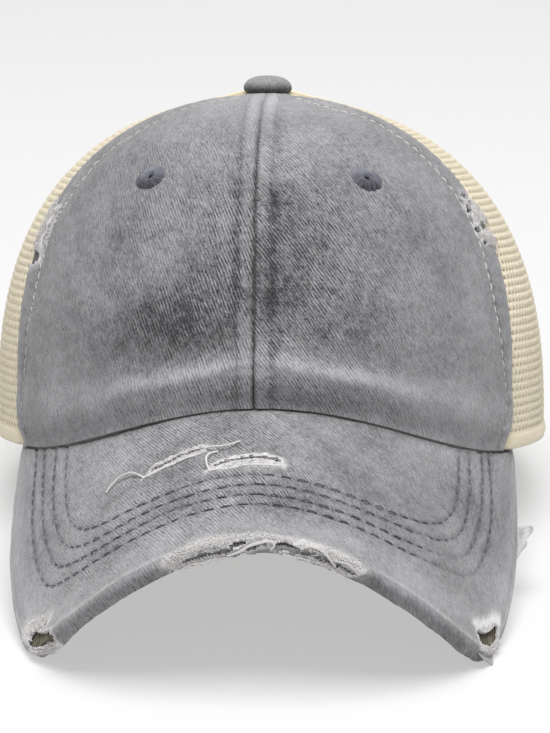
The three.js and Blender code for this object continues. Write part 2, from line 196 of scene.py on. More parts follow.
def crown_normal(theta, s):
    """Cross product of the steps round and up the crown."""
    low = np.clip(s, 1e-3, 1 - 2e-3)
    round_step = bare_crown(theta + 1e-3, low) - bare_crown(theta - 1e-3, low)
    up_step = bare_crown(theta, low + 1e-3) - bare_crown(theta, low - 1e-3)
    return unit(np.cross(round_step, up_step))


length_table = np.linspace(0, 1, 241)
side_line = bare_crown(np.full(241, np.pi / 2), length_table)
side_lengths = np.concatenate([[0], np.cumsum(np.linalg.norm(np.diff(side_line, axis=0), axis=1))])
SIDE_LENGTH = side_lengths[-1]


def up_the_side(v):
    """Turns a share of the length up the crown's side into s."""
    return np.interp(np.asarray(v) * SIDE_LENGTH, side_lengths, length_table)


def radius_at(v, full=NET_RADIUS):
    """The crown's radius at a share of the way up, from its full radius in millimetres: the half width, the
    half length, or the radius between them at the net or at the side seam."""
    return full * reach_of(up_the_side(v))


share_table = np.linspace(0.5, 0.9999, 4000)
TOP_SHARE = float(share_table[np.argmax(radius_at(share_table, HALF_WIDTH) < 2.5)])


def twisted(theta):
    """The crown has turned a little on its visor, most in front."""
    return theta - TWIST * (1 + np.cos(theta)) / 2


def fold_depth(theta, v):
    """Soft round dents and swells, mirrored about the centre seam, fading at the side seams and the foot."""
    across = np.abs(theta - twisted(0)) / SEAM_FOOT
    total = sum(d * np.exp(-((across - a) / w) ** 2 - ((v - b) / r) ** 2) for a, w, b, r, d in FOLDS)
    return np.where(across < 1, total * CROWN_HEIGHT * (1 - across ** 2) * np.minimum(1, v / 0.06), 0)


def crown(theta, v, out=0.0):
    """A point of the crown, out millimetres outside its surface."""
    theta, v = np.broadcast_arrays(np.asarray(theta, float), np.asarray(v, float))
    s = up_the_side(v)
    lift = np.broadcast_to(fold_depth(theta, v) + out, theta.shape)
    return bare_crown(theta, s) + crown_normal(theta, s) * lift[..., None]


def side_seam(v):
    """Angle of the seam between cloth and net: it sweeps back a little on its way up."""
    return SEAM_FOOT + SEAM_SWEEP * np.sin(np.minimum(1, v * 1.4) * np.pi / 2)


heights = CROWN_HEIGHT * rise_of(up_the_side(np.linspace(0, 0.98, 500)))


def share_at_height(height):
    return np.interp(height, heights, np.linspace(0, 0.98, 500))


print("length up the side", round(SIDE_LENGTH, 1), "mm, top share", round(TOP_SHARE, 4))

# %% [markdown]
# ## Unevenness
# Worn cloth is never quite even. Random steps from point to point would look rough, so a sum of a few sine
# waves with random directions gives a smooth unevenness. It is seeded, so it is the same in every run.

# %% Unevenness
def ripples(x, y, wavelength, seed, waves=9):
    """Mean of sine waves whose wavelengths lie round the given one and whose directions and phases are
    random, scaled to about -1 to 1."""
    rng = np.random.default_rng(seed)
    total = np.zeros(np.broadcast(x, y).shape)
    turns, phases = rng.uniform(0, np.pi, waves), rng.uniform(0, 7, waves)
    for turn, phase, size in zip(turns, phases, rng.uniform(0.7, 1.7, waves)):
        total += np.sin((x * math.cos(turn) + y * math.sin(turn)) * 2 * np.pi / (wavelength * size) + phase)
    return total / math.sqrt(waves)


def bump_shape(distance, width):
    """A bell: 1 at distance 0, falling away over the width."""
    return np.exp(-(distance / width) ** 2)


def smooth_step(low, high, x):
    t = np.clip((x - low) / (high - low), 0, 1)
    return t * t * (3 - 2 * t)


print("ripples at three points", ripples(np.array([0.0, 5.0, 10.0]), 0.0, 10, 1).round(2))

# %% [markdown]
# ## Meshes
# A cloth piece is two grids of points, its outer and inner face, joined along every edge, also round holes,
# so that it is closed and has a real thickness. A modifier could thicken a sheet too, but the two faces
# often differ here, as where a seam is sunk only from outside.

# %% Meshes and pieces
def turned_out(points, faces):
    """Faces in the order that gives a positive volume, so they point outwards."""
    volume = 0.0
    for face in faces:
        a = points[face[:, 0]]
        for k in range(1, face.shape[1] - 1):
            volume += np.einsum("ij,ij->", a, np.cross(points[face[:, k]], points[face[:, k + 1]]))
    return [face[:, ::-1] for face in faces] if volume < 0 else faces


def make_piece(name, points, faces, finish, stands_for=(), uv=None, marks=None, sharp=40):
    """Puts whole arrays into a mesh: level points in millimetres, a list of face arrays, one UV in metres
    per point, and marks, which are numbers kept per point. The piece rides on the cap and stands for its
    solids."""
    faces = [np.asarray(face, int) for face in faces if len(face)]
    points = on_table(points)
    used, flat = np.unique(np.concatenate([face.ravel() for face in faces]), return_inverse=True)
    points = points[used]
    sizes = np.concatenate([np.full(len(face), face.shape[1]) for face in faces])
    split = np.cumsum([face.size for face in faces])[:-1]
    faces = [part.reshape(-1, face.shape[1]) for part, face in zip(np.split(flat.ravel(), split), faces)]
    faces = turned_out(points, faces)
    corners = np.concatenate([face.ravel() for face in faces])
    mesh = bpy.data.meshes.new(name)
    mesh.vertices.add(len(points))
    mesh.vertices.foreach_set("co", points.ravel())
    mesh.loops.add(len(corners))
    mesh.loops.foreach_set("vertex_index", corners.astype(np.int32))
    mesh.polygons.add(len(sizes))
    mesh.polygons.foreach_set("loop_start", np.concatenate([[0], np.cumsum(sizes)[:-1]]).astype(np.int32))
    if uv is not None:
        layer = mesh.uv_layers.new(name="cloth")
        layer.data.foreach_set("uv", (np.asarray(uv, float)[used][corners] / 1000).ravel())
    mesh.update(calc_edges=True)
    for mark, values in (marks or {}).items():
        mesh.attributes.new(mark, "FLOAT", "POINT").data.foreach_set("value", np.asarray(values, float)[used])
    mesh.shade_smooth()
    mesh.set_sharp_from_angle(angle=math.radians(sharp))
    mesh.materials.append(finish)
    piece = bpy.data.objects.new(name, mesh)
    bpy.context.scene.collection.objects.link(piece)
    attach(piece, "root")
    if stands_for:
        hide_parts(*stands_for)
    print(name, int((sizes - 2).sum()), "triangles")
    return piece


def cloth_faces(columns, rows, keep=None):
    """Faces of a closed cloth of two grids: outer points first, then inner ones. keep says which cells
    stay. A strip of wall closes every edge between a kept cell and a missing one."""
    index = np.arange(columns * rows).reshape(columns, rows)
    below = columns * rows
    keep = np.ones((columns - 1, rows - 1), bool) if keep is None else keep
    a, b, c, d = index[:-1, :-1], index[1:, :-1], index[1:, 1:], index[:-1, 1:]
    outer = np.stack([a, b, c, d], -1)[keep]
    framed = np.pad(keep, 1)
    walls = []
    for near, start, end in ((framed[1:-1, :-2], a, b), (framed[2:, 1:-1], b, c), (framed[1:-1, 2:], c, d),
                             (framed[:-2, 1:-1], d, a)):
        edge = keep & ~near
        walls.append(np.stack([end[edge], start[edge], start[edge] + below, end[edge] + below], -1))
    return np.concatenate([outer, outer[:, ::-1] + below, *walls])


def cloth_piece(name, outer, inner, uv, finish, stands_for=(), marks=None, keep=None):
    """A closed cloth from its outer and inner grid of points, with the same UV and marks on both faces."""
    columns, rows = outer.shape[:2]
    points = np.concatenate([outer.reshape(-1, 3), inner.reshape(-1, 3)])
    both = {k: np.tile(np.broadcast_to(v, (columns, rows)).ravel(), 2) for k, v in (marks or {}).items()}
    uv = np.tile(uv.reshape(-1, 2), (2, 1))
    faces = cloth_faces(columns, rows, keep)
    return make_piece(name, points, [faces], finish, stands_for, uv, both)


def along(points, axis):
    """Length run along a grid of points in one direction, starting at 0."""
    steps = np.linalg.norm(np.diff(points, axis=axis), axis=-1)
    return np.concatenate([np.zeros_like(np.take(steps, [0], axis)), np.cumsum(steps, axis)], axis)


def grain(across, up, degrees):
    """UV in millimetres turned so that twill lines, which fall to the right at this angle, run along V."""
    a = math.radians(degrees)
    return np.stack([across * math.sin(a) + up * math.cos(a), across * math.cos(a) - up * math.sin(a)], -1)


# %% [markdown]
# ## Threads
# Stitches, frayed ends and loose yarns are all thin round threads along a path. They could be curves with a
# bevel, but thousands of curves are slow to make and to draw. So one function makes thousands of threads in
# one mesh: at each point of each path stands a small ring of corners, and rings are joined by quads.

# %% Threads
def threads(name, paths, radius, finish, sides=5, marks=None):
    """Tubes along paths of equal length: at each point a ring square to the path, with a flat cap at both
    ends."""
    paths = np.asarray(paths, float)
    count, steps = paths.shape[:2]
    radius = np.broadcast_to(np.asarray(radius, float), (count, steps))
    direction = unit(np.gradient(paths, axis=1))
    side = unit(np.cross(direction, np.array([0.35, 0.2, 0.91])))
    other = np.cross(direction, side)
    turn = np.arange(sides) * 2 * np.pi / sides
    ring = side[:, :, None] * np.cos(turn)[:, None] + other[:, :, None] * np.sin(turn)[:, None]
    points = paths[:, :, None] + ring * radius[:, :, None, None]
    index = np.arange(points[..., 0].size).reshape(count, steps, sides)
    turned = np.roll(index, -1, axis=2)
    quads = np.stack([index[:, :-1], turned[:, :-1], turned[:, 1:], index[:, 1:]], -1).reshape(-1, 4)
    caps = np.concatenate([index[:, 0, ::-1], index[:, -1]])
    lengths = np.broadcast_to(along(paths, 1)[:, :, None], (count, steps, sides))
    round_share = np.broadcast_to(np.arange(sides) * radius.mean() * 6.3 / sides, (count, steps, sides))
    uv = np.stack([round_share, lengths], -1).reshape(-1, 2)
    spread = {k: np.repeat(np.broadcast_to(v, (count,)), steps * sides) for k, v in (marks or {}).items()}
    return make_piece(name, points.reshape(-1, 3), [quads, caps], finish, (), uv, spread, sharp=75)


def stitches(surface, path, length, space, height, steps=5):
    """Stitch paths on a line of shares: each stitch starts in the cloth, rises over it like half a sine wave
    and sinks in again. surface(line, out) gives points."""
    dense = surface(path, 0.0)
    run = along(dense[None], 1)[0]
    count = int(run[-1] // (length + space))
    starts = (np.arange(count) + 0.5) * run[-1] / count
    t = np.linspace(0, 1, steps)
    places = starts[:, None] + (t - 0.5) * length
    line = np.stack([np.interp(places, run, path[:, k]) for k in range(path.shape[1])], -1)
    out = height * (np.sin(np.pi * t) * 1.5 - 0.5)
    return surface(line.reshape(-1, path.shape[1]), np.tile(out, count)).reshape(count, steps, 3)


def smooth_line(points, count, rounds=12):
    """A line through measured points, spaced evenly and then rounded by repeated averaging of neighbours."""
    points = np.asarray(points, float)
    run = along(points[None], 1)[0]
    even = np.linspace(0, run[-1], count)
    line = np.stack([np.interp(even, run, points[:, k]) for k in range(points.shape[1])], -1)
    for _ in range(rounds):
        line[1:-1] = (line[:-2] + 2 * line[1:-1] + line[2:]) / 4
    return line


# %% [markdown]
# ## Shader maths
# A finish in Blender is a graph of nodes, and its maths soon takes dozens of them. They could be set out by
# hand, but a small class lets the maths be written as plain expressions: each sum or product of two values
# adds its node.

# %% Shader maths
class Value:
    """A number that varies over a surface. Sums, products and so on add Math nodes."""

    def __init__(self, finish, socket):
        self.finish, self.socket = finish, socket

    def math(self, operation, *others, swap=False):
        terms = [self, *others][::-1] if swap else [self, *others]
        return self.finish.node("ShaderNodeMath", {"operation": operation}, dict(enumerate(terms)))

    def __add__(self, other):
        return self.math("ADD", other)

    def __sub__(self, other):
        return self.math("SUBTRACT", other)

    def __rsub__(self, other):
        return self.math("SUBTRACT", other, swap=True)

    def __mul__(self, other):
        return self.math("MULTIPLY", other)

    __radd__ = __add__

    def clamp(self):
        return self.math("MINIMUM", 1).math("MAXIMUM", 0)

    def step(self, low, high):
        """0 below low, 1 above high, with a soft step between."""
        settings = {"interpolation_type": "SMOOTHSTEP"}
        inputs = {"Value": self, "From Min": low, "From Max": high}
        return self.finish.node("ShaderNodeMapRange", settings, inputs)


class Finish:
    """A material and the nodes behind its one Principled shader."""

    def __init__(self, name, roughness=0.9, sheen=0.0):
        self.material = bpy.data.materials.new(name)
        self.material.use_nodes = True
        self.tree = self.material.node_tree
        self.shader = self.tree.nodes["Principled BSDF"]
        self.shader.inputs["Roughness"].default_value = roughness
        self.shader.inputs["Sheen Weight"].default_value = sheen
        self.shader.inputs["Sheen Roughness"].default_value = 0.6
        self.shader.inputs["Specular IOR Level"].default_value = 0.2

    def node(self, kind, settings=None, inputs=None, output=0):
        """Adds any node: first its settings, then the values or links of its sockets."""
        node = self.tree.nodes.new(kind)
        for key, value in (settings or {}).items():
            setattr(node, key, value)
        for key, value in (inputs or {}).items():
            if isinstance(value, Value):
                self.tree.links.new(value.socket, node.inputs[key])
            else:
                node.inputs[key].default_value = value
        return Value(self, node.outputs[output])

    def mark(self, name):
        return self.node("ShaderNodeAttribute", {"attribute_name": name}, output="Fac")

    def stretched(self, across, lengthways):
        """The cloth's UV scaled so that a pattern of size 1 is across by lengthways millimetres."""
        uv = self.node("ShaderNodeUVMap", {"uv_map": "cloth"})
        size = (1000 / across, 1000 / lengthways, 1)
        return self.node("ShaderNodeVectorMath", {"operation": "MULTIPLY"}, {0: uv, 1: size})

    def noise(self, across, lengthways, detail=2.0, roughness=0.5):
        inputs = {"Vector": self.stretched(across, lengthways), "Scale": 1.0, "Detail": detail,
                  "Roughness": roughness}
        return self.node("ShaderNodeTexNoise", {"noise_dimensions": "2D"}, inputs)

    def part_of(self, vector, axis=0):
        """One of a vector's three parts."""
        return self.node("ShaderNodeSeparateXYZ", None, {0: vector}, axis)

    def mix(self, share, low, high):
        """A colour between two colours."""
        factor_socket, low_socket, high_socket, colour_out = 0, 6, 7, 2
        inputs = {factor_socket: share}
        for socket, colour in ((low_socket, low), (high_socket, high)):
            inputs[socket] = colour if isinstance(colour, Value) else (*colour, 1)
        return self.node("ShaderNodeMix", {"data_type": "RGBA"}, inputs, colour_out)

    def finish(self, colour, height, distance, strength):
        """Sends a colour to the shader, and a height in shares of the distance to its normal."""
        self.tree.links.new(colour.socket, self.shader.inputs["Base Color"])
        inputs = {"Height": height, "Distance": distance, "Strength": strength}
        bump = self.node("ShaderNodeBump", None, inputs)
        self.tree.links.new(bump.socket, self.shader.inputs["Normal"])
        return self.material


# %% [markdown]
# ## Washed twill
# Washed twill shows fine slanting lines, uneven fading in patches, and lighter worn ridges. A picture of
# cloth could be laid on it, but the same flaws would come again and again. The fading and wear belong to
# places on the cap, so the meshes carry them as marks, tone, worn and lined, while lines and mottling come
# from waves and noise on the cloth's own UV map, which is in metres. The tone mark also carries painted
# shade in grooves and on faces turned from the lamp, and painted highlight where the cloth faces it.

# %% Washed twill
def washed_twill(name, dark, light, lines=0.2, pitch=0.95):
    """Slanting twill lines that break up along their way, over heathered yarns and fading in patches."""
    f = Finish(name, 0.92, 0.12)
    drift = f.noise(6, 14, 2)
    wave = ((f.part_of(f.stretched(pitch, pitch)) + drift) * (2 * math.pi)).math("SINE")
    broken = f.noise(1.3, 3.4, 2, 0.6).step(0.34, 0.62) * (f.noise(17, 24, 2).step(0.34, 0.6) * 0.6 + 0.4)
    yarn = f.noise(0.75, 2.4, 2, 0.65) - 0.5
    fleck = f.noise(0.7, 0.8, 3, 0.7) - 0.5
    mottle = f.noise(3.4, 4.6, 3, 0.6) - 0.5
    patch = f.noise(17, 22, 3, 0.55) - 0.5
    tone, worn, lined = f.mark("tone"), f.mark("worn"), f.mark("lined")
    heather = yarn * 0.75 + fleck * 0.75 + mottle * 0.5 + patch * 0.5
    level = 0.5 + wave * broken * (lined * lines + 0.03) + heather * (0.55 + lined * 0.45) + tone
    base = f.mix(level.clamp(), dark, light)
    fuzz = (worn + (f.noise(1.1, 1.4, 3, 0.7) - 0.5) * 0.9 * worn.step(0.02, 0.3)).clamp()
    colour = f.mix(fuzz, base, (0.72, 0.7, 0.7))
    height = wave * broken * (lined * 0.3 + 0.05) + yarn * 0.7 + fleck * 0.7
    height = height + worn * f.noise(0.8, 0.8, 3) * 1.5
    return f.finish(colour, height, 0.00016, 0.7)


TWILL = washed_twill("washed_twill", (0.035, 0.035, 0.038), (0.455, 0.453, 0.468), 0.3)
# A darker copy of the twill: painted shade for the turned-under cloth seen behind the frayed edge.
SHADED_BACKING = washed_twill("turned_under_cloth_shaded", (0.03, 0.03, 0.032), (0.22, 0.22, 0.225), 0.1)
LINING = washed_twill("sweatband_cotton", (0.16, 0.16, 0.165), (0.42, 0.42, 0.43), 0.1, 0.6)
print("nodes of the twill", len(TWILL.node_tree.nodes))

# %% [markdown]
# ## Net, thread and board
# The net is knitted from cream yarn, the stitches are of blue-grey or pale thread, and the visor's
# stiffener is a matted felt that shows where the cloth is worn through. One plain colour each would look
# like plastic at this distance, so each gets the turns of its yarn or the flecks of its felt. The board
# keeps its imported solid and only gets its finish.

# %% Net, thread and board
def knitted_net(name):
    """Cream yarn with fine turns and a slightly uneven dye."""
    f = Finish(name, 0.8, 0.1)
    yarn = f.noise(0.35, 0.5, 2, 0.6)
    patch = f.noise(14, 9, 2)
    colour = f.mix((yarn * 0.5 + patch * 0.6 - 0.05).clamp(), (0.68, 0.59, 0.42), (0.86, 0.79, 0.63))
    return f.finish(colour, yarn, 0.00012, 0.7)


def thread_finish(name, dark, light, turn=0.55):
    """Twisted yarn: slanting plies along the thread, over a colour that differs from thread to thread."""
    f = Finish(name, 0.75, 0.15)
    run = f.stretched(1, turn)
    ply = ((f.part_of(run, 1) + f.part_of(run) * 1.1) * (2 * math.pi)).math("SINE")
    level = (f.mark("tone") + 0.5 + ply * 0.15 + (f.noise(0.6, 2.5, 2) - 0.5) * 0.5).clamp()
    return f.finish(f.mix(level, dark, light), ply, 0.00008, 0.7)


def board_finish(name):
    """Matted stiffener: ribbed felt with dark flecks, brown at its corners. In the middle of the visor's edge
    its grey is partly its own and partly painted light for the shaded holes there. Further back it is nearly
    black, painted shade, as it is seen only deep in the rips."""
    f = Finish(name, 0.95)
    place = f.node("ShaderNodeTexCoord", output="Object")
    felt = f.node("ShaderNodeTexNoise", None, {"Vector": place, "Scale": 420.0, "Detail": 3.0})
    ribs = (f.part_of(place) * (2 * math.pi / 0.0008)).math("SINE")
    level = ((felt - 0.5) * 1.6 + 0.5 + ribs * 0.16).clamp()
    corner = f.part_of(place).math("ABSOLUTE").step(0.04, 0.052)
    # Painted shade: nearly black further back, where the felt lies deep in the rips.
    deep = f.part_of(place, 1).step(-0.112, -0.106) * (1 - corner)
    dark = f.mix(corner, (0.22, 0.22, 0.22), (0.06, 0.054, 0.036))
    # The pale grey in the middle is partly painted light for the shaded holes in the edge.
    light = f.mix(corner, (0.6, 0.6, 0.6), (0.24, 0.22, 0.165))
    dark, light = f.mix(deep, dark, (0.01, 0.01, 0.01)), f.mix(deep, light, (0.05, 0.05, 0.05))
    return f.finish(f.mix(level, dark, light), felt + ribs * 0.4, 0.0004, 0.8)


NET = knitted_net("cream_net")
BLUE_THREAD = thread_finish("blue_grey_thread", (0.035, 0.035, 0.055), (0.17, 0.17, 0.22))
PALE_THREAD = thread_finish("pale_thread", (0.24, 0.235, 0.24), (0.8, 0.78, 0.74))
FRAY = thread_finish("frayed_yarn", (0.58, 0.56, 0.56), (0.92, 0.9, 0.88), 0.9)
EYELET = thread_finish("eyelet_thread", (0.038, 0.038, 0.05), (0.25, 0.25, 0.3))
BOARD = board_finish("visor_board")
board_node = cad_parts["visor_board"]
board_node.data.materials.clear()
board_node.data.materials.append(BOARD)
print("finishes so far", [material.name for material in bpy.data.materials])

# %% [markdown]
# ## Front panels
# Each front panel is one cloth that runs from the centre seam to the net. A cloth simulation could drape
# it, but the swells and puckers have places in the photograph, so the shape is the crown's surface with
# small lifts on top: the pressed-open seam with a sunken stitch line on each side, the doubled edge beside
# the net, the swell and puckers over the visor, and soft unevenness. Columns crowd together at the seam and
# the edge, where the detail is. Bites are left out of the edge where it has worn through.

# %% Front panels
def closer(count, places):
    """Numbers from 0 to 1 that lie closer together round some places, each given with a width and a
    strength."""
    t = np.linspace(0, 1, 2001)
    density = 1 + sum(extra * bump_shape(t - place, width) for place, width, extra in places)
    run = np.concatenate([[0], np.cumsum((density[1:] + density[:-1]) / 2)])
    return np.interp(np.linspace(0, run[-1], count), run, t)


def crowded(near, far, middle):
    """Shares from 0 to 1 with fine steps over the first and last part and even ones between."""
    first = np.linspace(0, 0.075, near, endpoint=False)
    last = np.linspace(0.9, 1, far)
    return np.concatenate([first, np.linspace(0.075, 0.9, middle, endpoint=False), last])


SIDES = {1: "left", -1: "right"}
SEAM_STITCH, PANEL_THICK = 5.4, 1.5
EYELET_ANGLE, EYELET_HEIGHT, EYELET_DRILL = math.radians(29), 84.0, 1.25
EYELET_HOLE, EYELET_REACH = 1.15, 5.6
# Slope of the twill lines in degrees, by side.
TWILL_SLOPE = {1: 57, -1: 72}
# Lighter and darker patches: millimetres to the side, share up, half width in mm, half height as a share,
# amount.
# The two lighter patches just above the visor, on the crest of the swell, and the one over the top are
# painted highlight where the cloth faces the lamp.
TONES = [
    (-27, 0.2, 18, 0.07, -0.4), (-8, 0.3, 16, 0.1, -0.13), (10, 0.36, 20, 0.16, -0.21),
    (22, 0.21, 18, 0.08, -0.12), (-45, 0.22, 14, 0.1, -0.06), (40, 0.16, 14, 0.05, -0.03),
    (-22, 0.084, 24, 0.019, 0.36), (22, 0.088, 26, 0.02, 0.32), (-6, 0.15, 5, 0.05, 0.16),
    (0, 0.9, 45, 0.16, 0.21), (-62, 0.09, 18, 0.08, 0.1), (58, 0.08, 20, 0.07, 0.14),
    (-40, 0.4, 12, 0.05, -0.05), (45, 0.42, 14, 0.1, -0.1), (-45, 0.5, 20, 0.14, -0.08),
]
# Holes by side: share up, millimetres in from the edge, half height as a share, half width in millimetres.
HOLES = {
    1: [(0.5, 4.6, 0.008, 1.7), (0.47, 6.4, 0.009, 1.5), (0.427, 7.2, 0.01, 1.4), (0.431, 2.6, 0.013, 2.7),
        (0.495, 0.0, 0.012, 1.6), (0.486, 3.6, 0.005, 1.0), (0.402, 6.2, 0.005, 1.2)],
    -1: [(0.362, 3.0, 0.013, 3.4), (0.36, 0.0, 0.014, 3.0), (0.42, 6.6, 0.034, 1.0), (0.405, 0.0, 0.008, 1.6),
         (0.447, 0.0, 0.01, 1.4), (0.475, 0.0, 0.006, 1.2)],
}
# Worn stretch of the edge by side: its middle as a share up, millimetres of whole cloth left beside the
# stitches, and how dark the painted shadow is that the stitched part casts beside those stitches.
WEAR_AND_SHADOW = {1: (0.45, 1.4, 0.2), -1: (0.428, 3.0, 0.45)}
WEAR_REACH = 0.05


def edge_stitch(v):
    """Distance of the cream stitches from the panel's edge: 3.6 mm at the foot and 8.8 mm from a third up."""
    return 3.6 + 5.2 * smooth_step(0.08, 0.3, v)


def panel_lift(side, across, edge, v, x):
    """Millimetres that the cloth stands out from the plain crown: seam, edge, foot and unevenness."""
    up = v * SIDE_LENGTH
    seed = 3 + side
    hemmed = edge * 4.8 / edge_stitch(v)
    seam = 0.42 * smooth_step(0.2, 1.2, across) * (1 - smooth_step(4.4, 5.4, across))
    seam -= 0.75 * bump_shape(across, 0.42) * (1 - 0.6 * smooth_step(0.55, 0.85, v))
    seam -= 0.42 * bump_shape(across - SEAM_STITCH, 0.8)
    tucks = np.sin(2 * np.pi * up / 3.7 + 1.3 * ripples(up, across, 30, seed))
    tucks = 0.13 * tucks * bump_shape(across - 5, 2.6)
    hem = 0.5 * smooth_step(0, 0.6, edge) * (1 - smooth_step(3.6, 5, hemmed)) - 0.5 * bump_shape(edge, 0.35)
    hem -= 0.28 * bump_shape(edge - edge_stitch(v), 0.6)
    hem_tucks = np.sin(2 * np.pi * up / 4.6 + ripples(up, edge, 26, seed + 5))
    hem_tucks = 0.14 * hem_tucks * bump_shape(hemmed - 3.4, 2.2)
    foot = -1.2 * (1 - smooth_step(0, 0.045, v)) + 0.7 * bump_shape(v - 0.07, 0.035)
    crest = 0.094 - 0.014 * np.abs(x) / 20 + 0.004 * ripples(x, x, 30, 8)
    swell = 0.75 * bump_shape(v - crest, 0.016) - 0.7 * bump_shape(v - crest - 0.055, 0.035)
    foot += bump_shape(x, 46) * swell
    gathers = 0.34 * ripples(x, up * 0.25, 9, seed + 9) * bump_shape(v - 0.05, 0.05)
    soft = 0.4 * ripples(x, up, 42, seed + 20) + 0.16 * ripples(x, up, 15, seed + 21)
    soft = soft * smooth_step(0, 12, across) * smooth_step(0, 10, edge) * (1 - smooth_step(0.8, 0.98, v))
    fine = 0.045 * ripples(x, up, 4.5, seed + 22)
    narrow = 1 - smooth_step(0.86, 0.97, v)
    foot = foot - 0.9 * smooth_step(0.87, 0.95, v)
    return (seam + tucks) * narrow + (hem + hem_tucks) * narrow + foot + gathers + soft + fine


def front_panel(side):
    """The crown's surface between the centre seam and the side seam, from the rim to the top."""
    rows = closer(190, [(0.43, 0.09, 1.3)]) * TOP_SHARE
    u, v = np.meshgrid(crowded(22, 36, 68), rows, indexing="ij")
    wide = side_seam(v)
    spare = 0.06 / radius_at(v, HALF_WIDTH)
    theta = twisted(side * (spare + (wide - 2 * spare) * u))
    bare = crown(theta, v)
    across = along(bare, 0)
    edge = across[-1:] - across
    up = v * SIDE_LENGTH
    lift = panel_lift(side, across, edge, v, bare[..., 0])
    eyelet = np.linalg.norm(bare - eyelet_place(side)[0], axis=-1)
    lift = lift - 0.45 * bump_shape(eyelet, 3.8) + 0.25 * bump_shape(eyelet - 5.8, 1.2)
    outer, inner = crown(theta, v, lift), crown(theta, v, lift - PANEL_THICK)
    outer[..., 2] -= 0.25 * (1 - smooth_step(0, 0.02, v))
    tone = sum(amount * bump_shape(bare[..., 0] - x, half_x) * bump_shape(v - y, half_y)
               for x, y, half_x, half_y, amount in TONES)
    # Painted shade in the groove of the stitch line beside the centre seam.
    tone = tone - 0.15 * bump_shape(across - SEAM_STITCH, 1.5) * (1 - 0.6 * smooth_step(0.5, 0.85, v))
    # A little darker overall, and painted shade in the centre seam's groove, less near the top.
    tone = tone - 0.02 - 0.3 * bump_shape(across, 0.45) * (1 - 0.8 * smooth_step(0.55, 0.85, v))
    tone = tone + 0.05 * bump_shape(across - 2.6, 1.2) + 0.06 * bump_shape(edge - 1.6, 1.2)
    # Painted highlight on the seam's ridge near the top, which faces the lamp.
    tone = tone + 0.16 * bump_shape(across - 2.6, 2.0) * smooth_step(0.6, 0.85, v)
    # Painted light lifts the shade at the foot over the visor, and a painted shadow line runs along the
    # panel's edge beside the net.
    tone = tone + 0.08 * bump_shape(v, 0.03) - 0.3 * bump_shape(edge, 0.5)
    # Painted shade in the groove of the stitch line beside the edge.
    tone = tone - 0.08 * bump_shape(edge - edge_stitch(v), 0.9)
    lined = np.clip(1.05 * bump_shape(bare[..., 0], 46) * (1 - 0.85 * smooth_step(0.4, 0.85, v)), 0, 1)
    worn = 0.04 * bump_shape(edge - 0.8, 0.8)
    hole = np.zeros(edge.shape, bool)
    for place, inwards, half, reach in HOLES[side]:
        away = np.hypot((v - place) / half, (edge - inwards) / reach)
        away = away + 0.3 * ripples(up, edge, 1.5, int(place * 1000))
        hole |= away < 1
        worn = np.maximum(worn, 0.7 * np.exp(-(np.maximum(away - 1, 0) / 0.8) ** 2))
    wear_place, whole, shade = WEAR_AND_SHADOW[side]
    left_of_wear = WEAR_REACH - np.abs(v - wear_place)
    frayed = smooth_step(0, 0.012, left_of_wear) * (edge < edge_stitch(v) - whole)
    worn = np.clip(np.maximum(worn, frayed * (0.8 + 0.4 * ripples(up, edge, 4.5, 77))), 0, 1)
    # Painted shadow: a dark line beside the stitches, where the stitched part stands above the torn cloth.
    tone = tone - shade * bump_shape(edge - 7.0, 0.8) * smooth_step(0, 0.02, left_of_wear)
    middle = hole[:-1, :-1] | hole[1:, 1:]
    drill = eyelet[:-1, :-1] < EYELET_DRILL
    uv = grain(side * across, up, TWILL_SLOPE[side])
    marks = {"tone": tone, "worn": worn, "lined": lined}
    word = SIDES[side]
    cloth_piece(f"front_cloth_{word}", outer, inner, uv, TWILL, [f"front_panel_{word}"],
                marks, ~(middle | drill))
    return v[0], across[-1]


def eyelet_place(side):
    """Centre and outward direction of an eyelet, 84 mm up at 29 degrees from the twisted centre seam."""
    theta = twisted(side * EYELET_ANGLE)
    shares = np.linspace(0.3, 0.8, 800)
    v = np.interp(EYELET_HEIGHT, crown(np.full(800, theta), shares)[:, 2], shares)
    return crown(theta, v), crown_normal(np.asarray(theta), up_the_side(v))


PANEL_WIDTHS = {side: front_panel(side) for side in SIDES}
print("panel width at the foot", {side: float(width[1][0].round(1)) for side, width in PANEL_WIDTHS.items()})

# %% [markdown]
# ## Net panels
# The net is a stiff knit with rounded six-sided holes in rows. From the front it is seen along its surface,
# where the rows read as level ribs. A pattern painted on a sheet would look flat there, so the net is real
# geometry: every hole is a cell of three rings, which run from the strand's ridge in to the hole and back
# out behind, and neighbouring cells share their outer ring. The cells are laid out flat and then wrapped
# onto the crown.

# %% Net cells
NET_PITCH, NET_ROW = 2.9, 2.5
# Rings of a cell: size as a share of the whole cell, and millimetres out from the crown.
NET_RINGS = [(1.0, 0.04), (0.36, -0.3), (1.0, -1.15)]


def hexagon():
    """Twelve flat points: the six corners of a hexagon that stands on its point, and the middles of its
    sides."""
    a, b = NET_PITCH / 2, NET_ROW / 3
    corners = np.array([(0, 2 * b), (-a, b), (-a, -b), (0, -2 * b), (a, -b), (a, b)])
    return np.stack([corners, (corners + np.roll(corners, -1, 0)) / 2], 1).reshape(12, 2)


